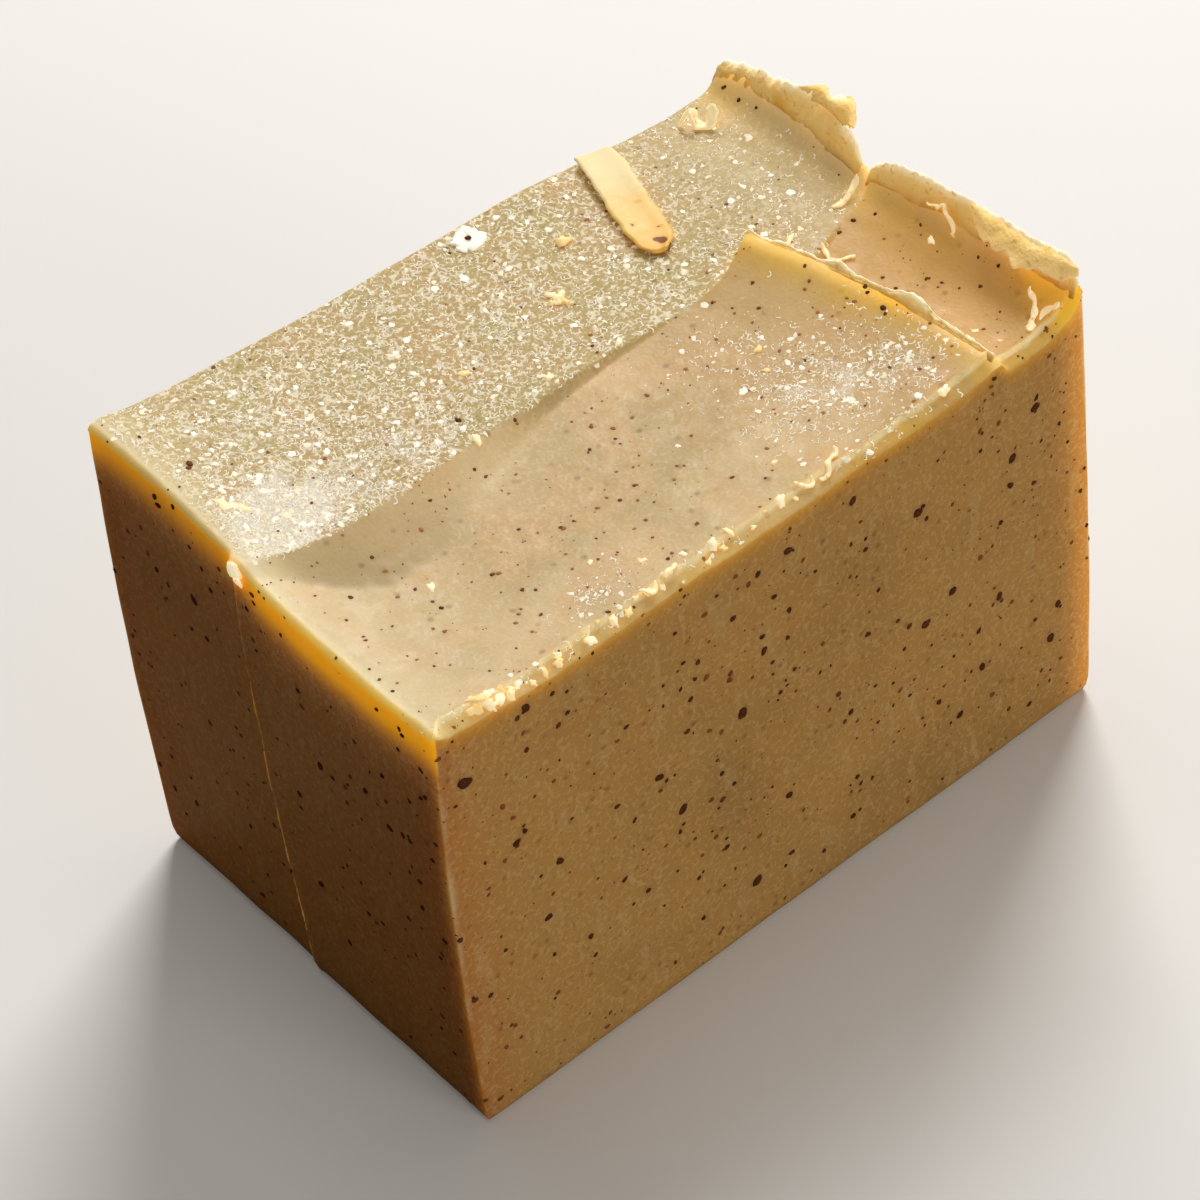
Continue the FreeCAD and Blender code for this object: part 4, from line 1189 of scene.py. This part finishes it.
# Shreds that stand or lie on the edges: each is a bent thread through a few places, with a width.
SHREDS = (
    ((8.7, -22.6, 0.9, 0.35), (8.2, -23.4, 0.5, 0.45), (7.0, -24.1, 0.3, 0.5), (5.6, -24.3, 0.2, 0.45)),
    ((3.1, -23.0, 0.5, 0.3), (3.3, -23.7, 0.2, 0.35), (4.0, -24.0, 0.2, 0.35), (4.6, -23.8, 0.2, 0.25)),
    ((-11.0, -23.6, 0.4, 0.4), (-12.2, -23.8, 0.5, 0.6), (-13.4, -24.1, 0.3, 0.5)),
    ((-14.2, -23.8, 0.3, 0.4), (-15.0, -24.3, 0.5, 0.5), (-16.0, -24.2, 0.2, 0.4)),
    ((-22.0, -23.9, 1.1, 0.35), (-22.3, -24.3, 0.7, 0.55), (-22.9, -24.6, 0.1, 0.6)),
    ((36.2, -21.0, 1.4, 0.35), (35.3, -21.8, 0.9, 0.6), (34.4, -22.6, 0.5, 0.7), (33.0, -23.9, 0.2, 0.8)),
    ((34.4, -23.6, 0.2, 0.5), (35.6, -23.9, 0.3, 0.6), (36.8, -24.1, 0.2, 0.4)),
    ((36.6, 3.3, 1.6, 0.4), (35.6, 3.1, 0.9, 0.6), (34.4, 2.9, 0.4, 0.6), (33.2, 2.8, 0.2, 0.5)),
    ((28.4, -0.6, 0.5, 0.3), (27.9, -1.6, 0.3, 0.35), (28.6, -2.7, 0.2, 0.35), (29.6, -3.1, 0.2, 0.3)),
    ((27.0, 3.0, 0.4, 0.3), (25.6, 2.2, 0.2, 0.4), (24.6, 2.6, 0.2, 0.3)),
    ((36.6, -10.6, 0.5, 0.25), (37.2, -8.6, 0.9, 0.3), (37.4, -5.4, 0.9, 0.25)),
    ((-37.6, 9.4, 0.10, 0.8), (-36.6, 8.0, 0.12, 1.1), (-35.6, 6.9, 0.08, 0.7)),
)


def flake_sheet(spots, arch, seed, thin=0.14):
    """A small bent flake of soap over a line of spots: x, y, height above the soap and width."""
    at, (x, y, lift, width) = even_places(spots, 0.10)
    x = x + 0.9 * waves_along(at, 1.3, seed + 2)
    y = y + 0.9 * waves_along(at, 1.3, seed + 3)
    over = np.linspace(-1, 1, 5)
    taper = np.clip(np.minimum(at, at[-1] - at) / 0.25, 0.25, 1)
    reach = (width * taper * (1 + 0.9 * waves_along(at, 0.6, seed)))[:, None] / 2
    ground = top_height(x, y)[0] - edge_drop(x, y)[0]
    sheet_x, sheet_y = beside(x, y, over * reach)
    sheet_z = (ground + lift)[:, None] - arch * over ** 2 * reach
    sheet_z = sheet_z + 0.10 * waves(sheet_x, sheet_y, over + 0 * reach, 0.6, seed + 1)
    points, faces = thin_sheet(np.stack([sheet_x, sheet_y, sheet_z], -1), thin + 0 * reach + 0 * over)
    return points, faces, np.full(len(points), 0.86)


def crumb_at(x, y, size, squash, seed, lift=0.0, lobes=0.2):
    """A crumb that lies on the top at a place."""
    place, slope = on_soap(x, y, lift)
    return lump(place, slope, size, squash, seed, lobes)


star_middle, chip_middle = ((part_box(name)[0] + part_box(name)[1]) / 2 / MM
                            for name in ("star_crumb", "chip_crumb"))
star = join_parts("star_shaped_crumb", [
    crumb_at(star_middle.x + x, star_middle.y + y, 1.2 * long, (1.0, wide / long, 0.5), seed, 0.12, 0.25)
    for seed, (x, y, long, wide) in enumerate(CRUMB_STAR, 61)])
chip = join_parts("yellow_chip", [
    crumb_at(chip_middle.x, chip_middle.y, 1.55, (1.0, 0.72, 0.55), 71, 0.2)])
curl_low, curl_high = (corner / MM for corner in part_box("curl_crumb"))
curl_ground, _ = on_soap(curl_low.x + 1.4, curl_low.y + 1.4)
curl_rise = curl_low.z - curl_ground.z
curl_spots = (
    (curl_low.x, curl_high.y, 0.1, 0.6), (curl_low.x + 0.4, curl_high.y - 0.8, curl_rise + 0.3, 0.8),
    (curl_low.x + 1.0, curl_low.y + 1.2, 0.4 * curl_rise, 1.0),
    (curl_low.x + 1.8, curl_low.y + 0.6, 0.3, 1.3),
    (curl_high.x, curl_low.y + 0.6, curl_rise + 0.35, 1.5))
curl = join_parts("standing_curl", [flake_sheet(curl_spots, 0.1, 77, 0.26)])
flake = join_parts("white_flake", [
    crumb_at(flake_middle.x + 1.0 * math.cos(turn), flake_middle.y + 0.8 * math.sin(turn), 1.9,
             (1, 0.75, 0.22), 80 + turn, 0.08)
    for turn in np.arange(0, 6.2, 0.9)], "tone")
for piece, node, finish in ((star, "star_crumb", thin_soap), (chip, "chip_crumb", thin_soap),
                            (curl, "curl_crumb", thin_soap), (flake, "flake_crumb", white_ash)):
    piece.data.materials.append(finish)
    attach(piece, "root")
    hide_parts(node)

edge_crumbs = join_parts("edge_crumbs", [
    crumb_at(x, y, 1.1 * size, (1.2, 0.8, 0.38), seed, 0.05)
    for seed, (x, y, size) in enumerate(FRONT_EDGE_CRUMBS, 91)] + [
    flake_sheet(spots, 0.5, seed) for seed, spots in enumerate(SHREDS, 151)])
edge_crumbs.data.materials.append(thin_soap)
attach(edge_crumbs, "root")

# The saw seam on the left end: where the two saw cuts met they left a thin torn thread of soap,
# and a small knob of it at the top.
SEAM_THREAD_STEP = 0.25
# The knob's lumps: x, y, z, size and squash.
KNOB = ((-40.1, 2.7, 54.3, 2.3, (0.8, 0.9, 1.0)), (-40.4, 2.4, 52.9, 1.5, (0.4, 0.6, 1.7)),
        (-39.4, 3.0, 54.9, 1.9, (1.2, 0.8, 0.6)))


def seam_thread():
    """The thread's points and faces, down the saw step from the knob to the base."""
    z = np.arange(0.4, 53.6, SEAM_THREAD_STEP)
    y = np.interp(z, SAW_STEP_Z, SAW_STEP_Y) - 0.12 + 0.15 * waves_along(z, 2.5, 201)
    proud = 0.03 + 0.12 * waves_along(z, 3.0, 202) + 0.1 * waves_along(z, 0.7, 203)
    proud = np.clip(proud, -0.04, 0.15)
    out = np.linspace(0, 1, 4)
    skin = np.array([skin_point((-OUTSIDE, place_y, place_z), (1, 0, 0))[0].x
                     for place_y, place_z in zip(y, z)])
    centres = np.stack([skin[:, None] + 0.15 - (0.15 + proud[:, None]) * out,
                        y[:, None] - 0.10 * out * proud[:, None], z[:, None] + 0 * out], -1)
    points, faces = thin_sheet(centres, 0.11 - 0.06 * out + 0 * z[:, None])
    return points, faces, np.full(len(points), 0.1)


# The knob's tone of 1.5 gives it the thin soap's brightest painted glow, which keeps it pale in the left
# end's shade.
seam = join_parts("saw_seam_thread", [seam_thread()] + [
    lump((x, y, z), (-0.5, 0, 1), size, squash, seed, shade=1.5)
    for seed, (x, y, z, size, squash) in enumerate(KNOB, 211)])
seam.data.materials.append(thin_soap)
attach(seam, "root")
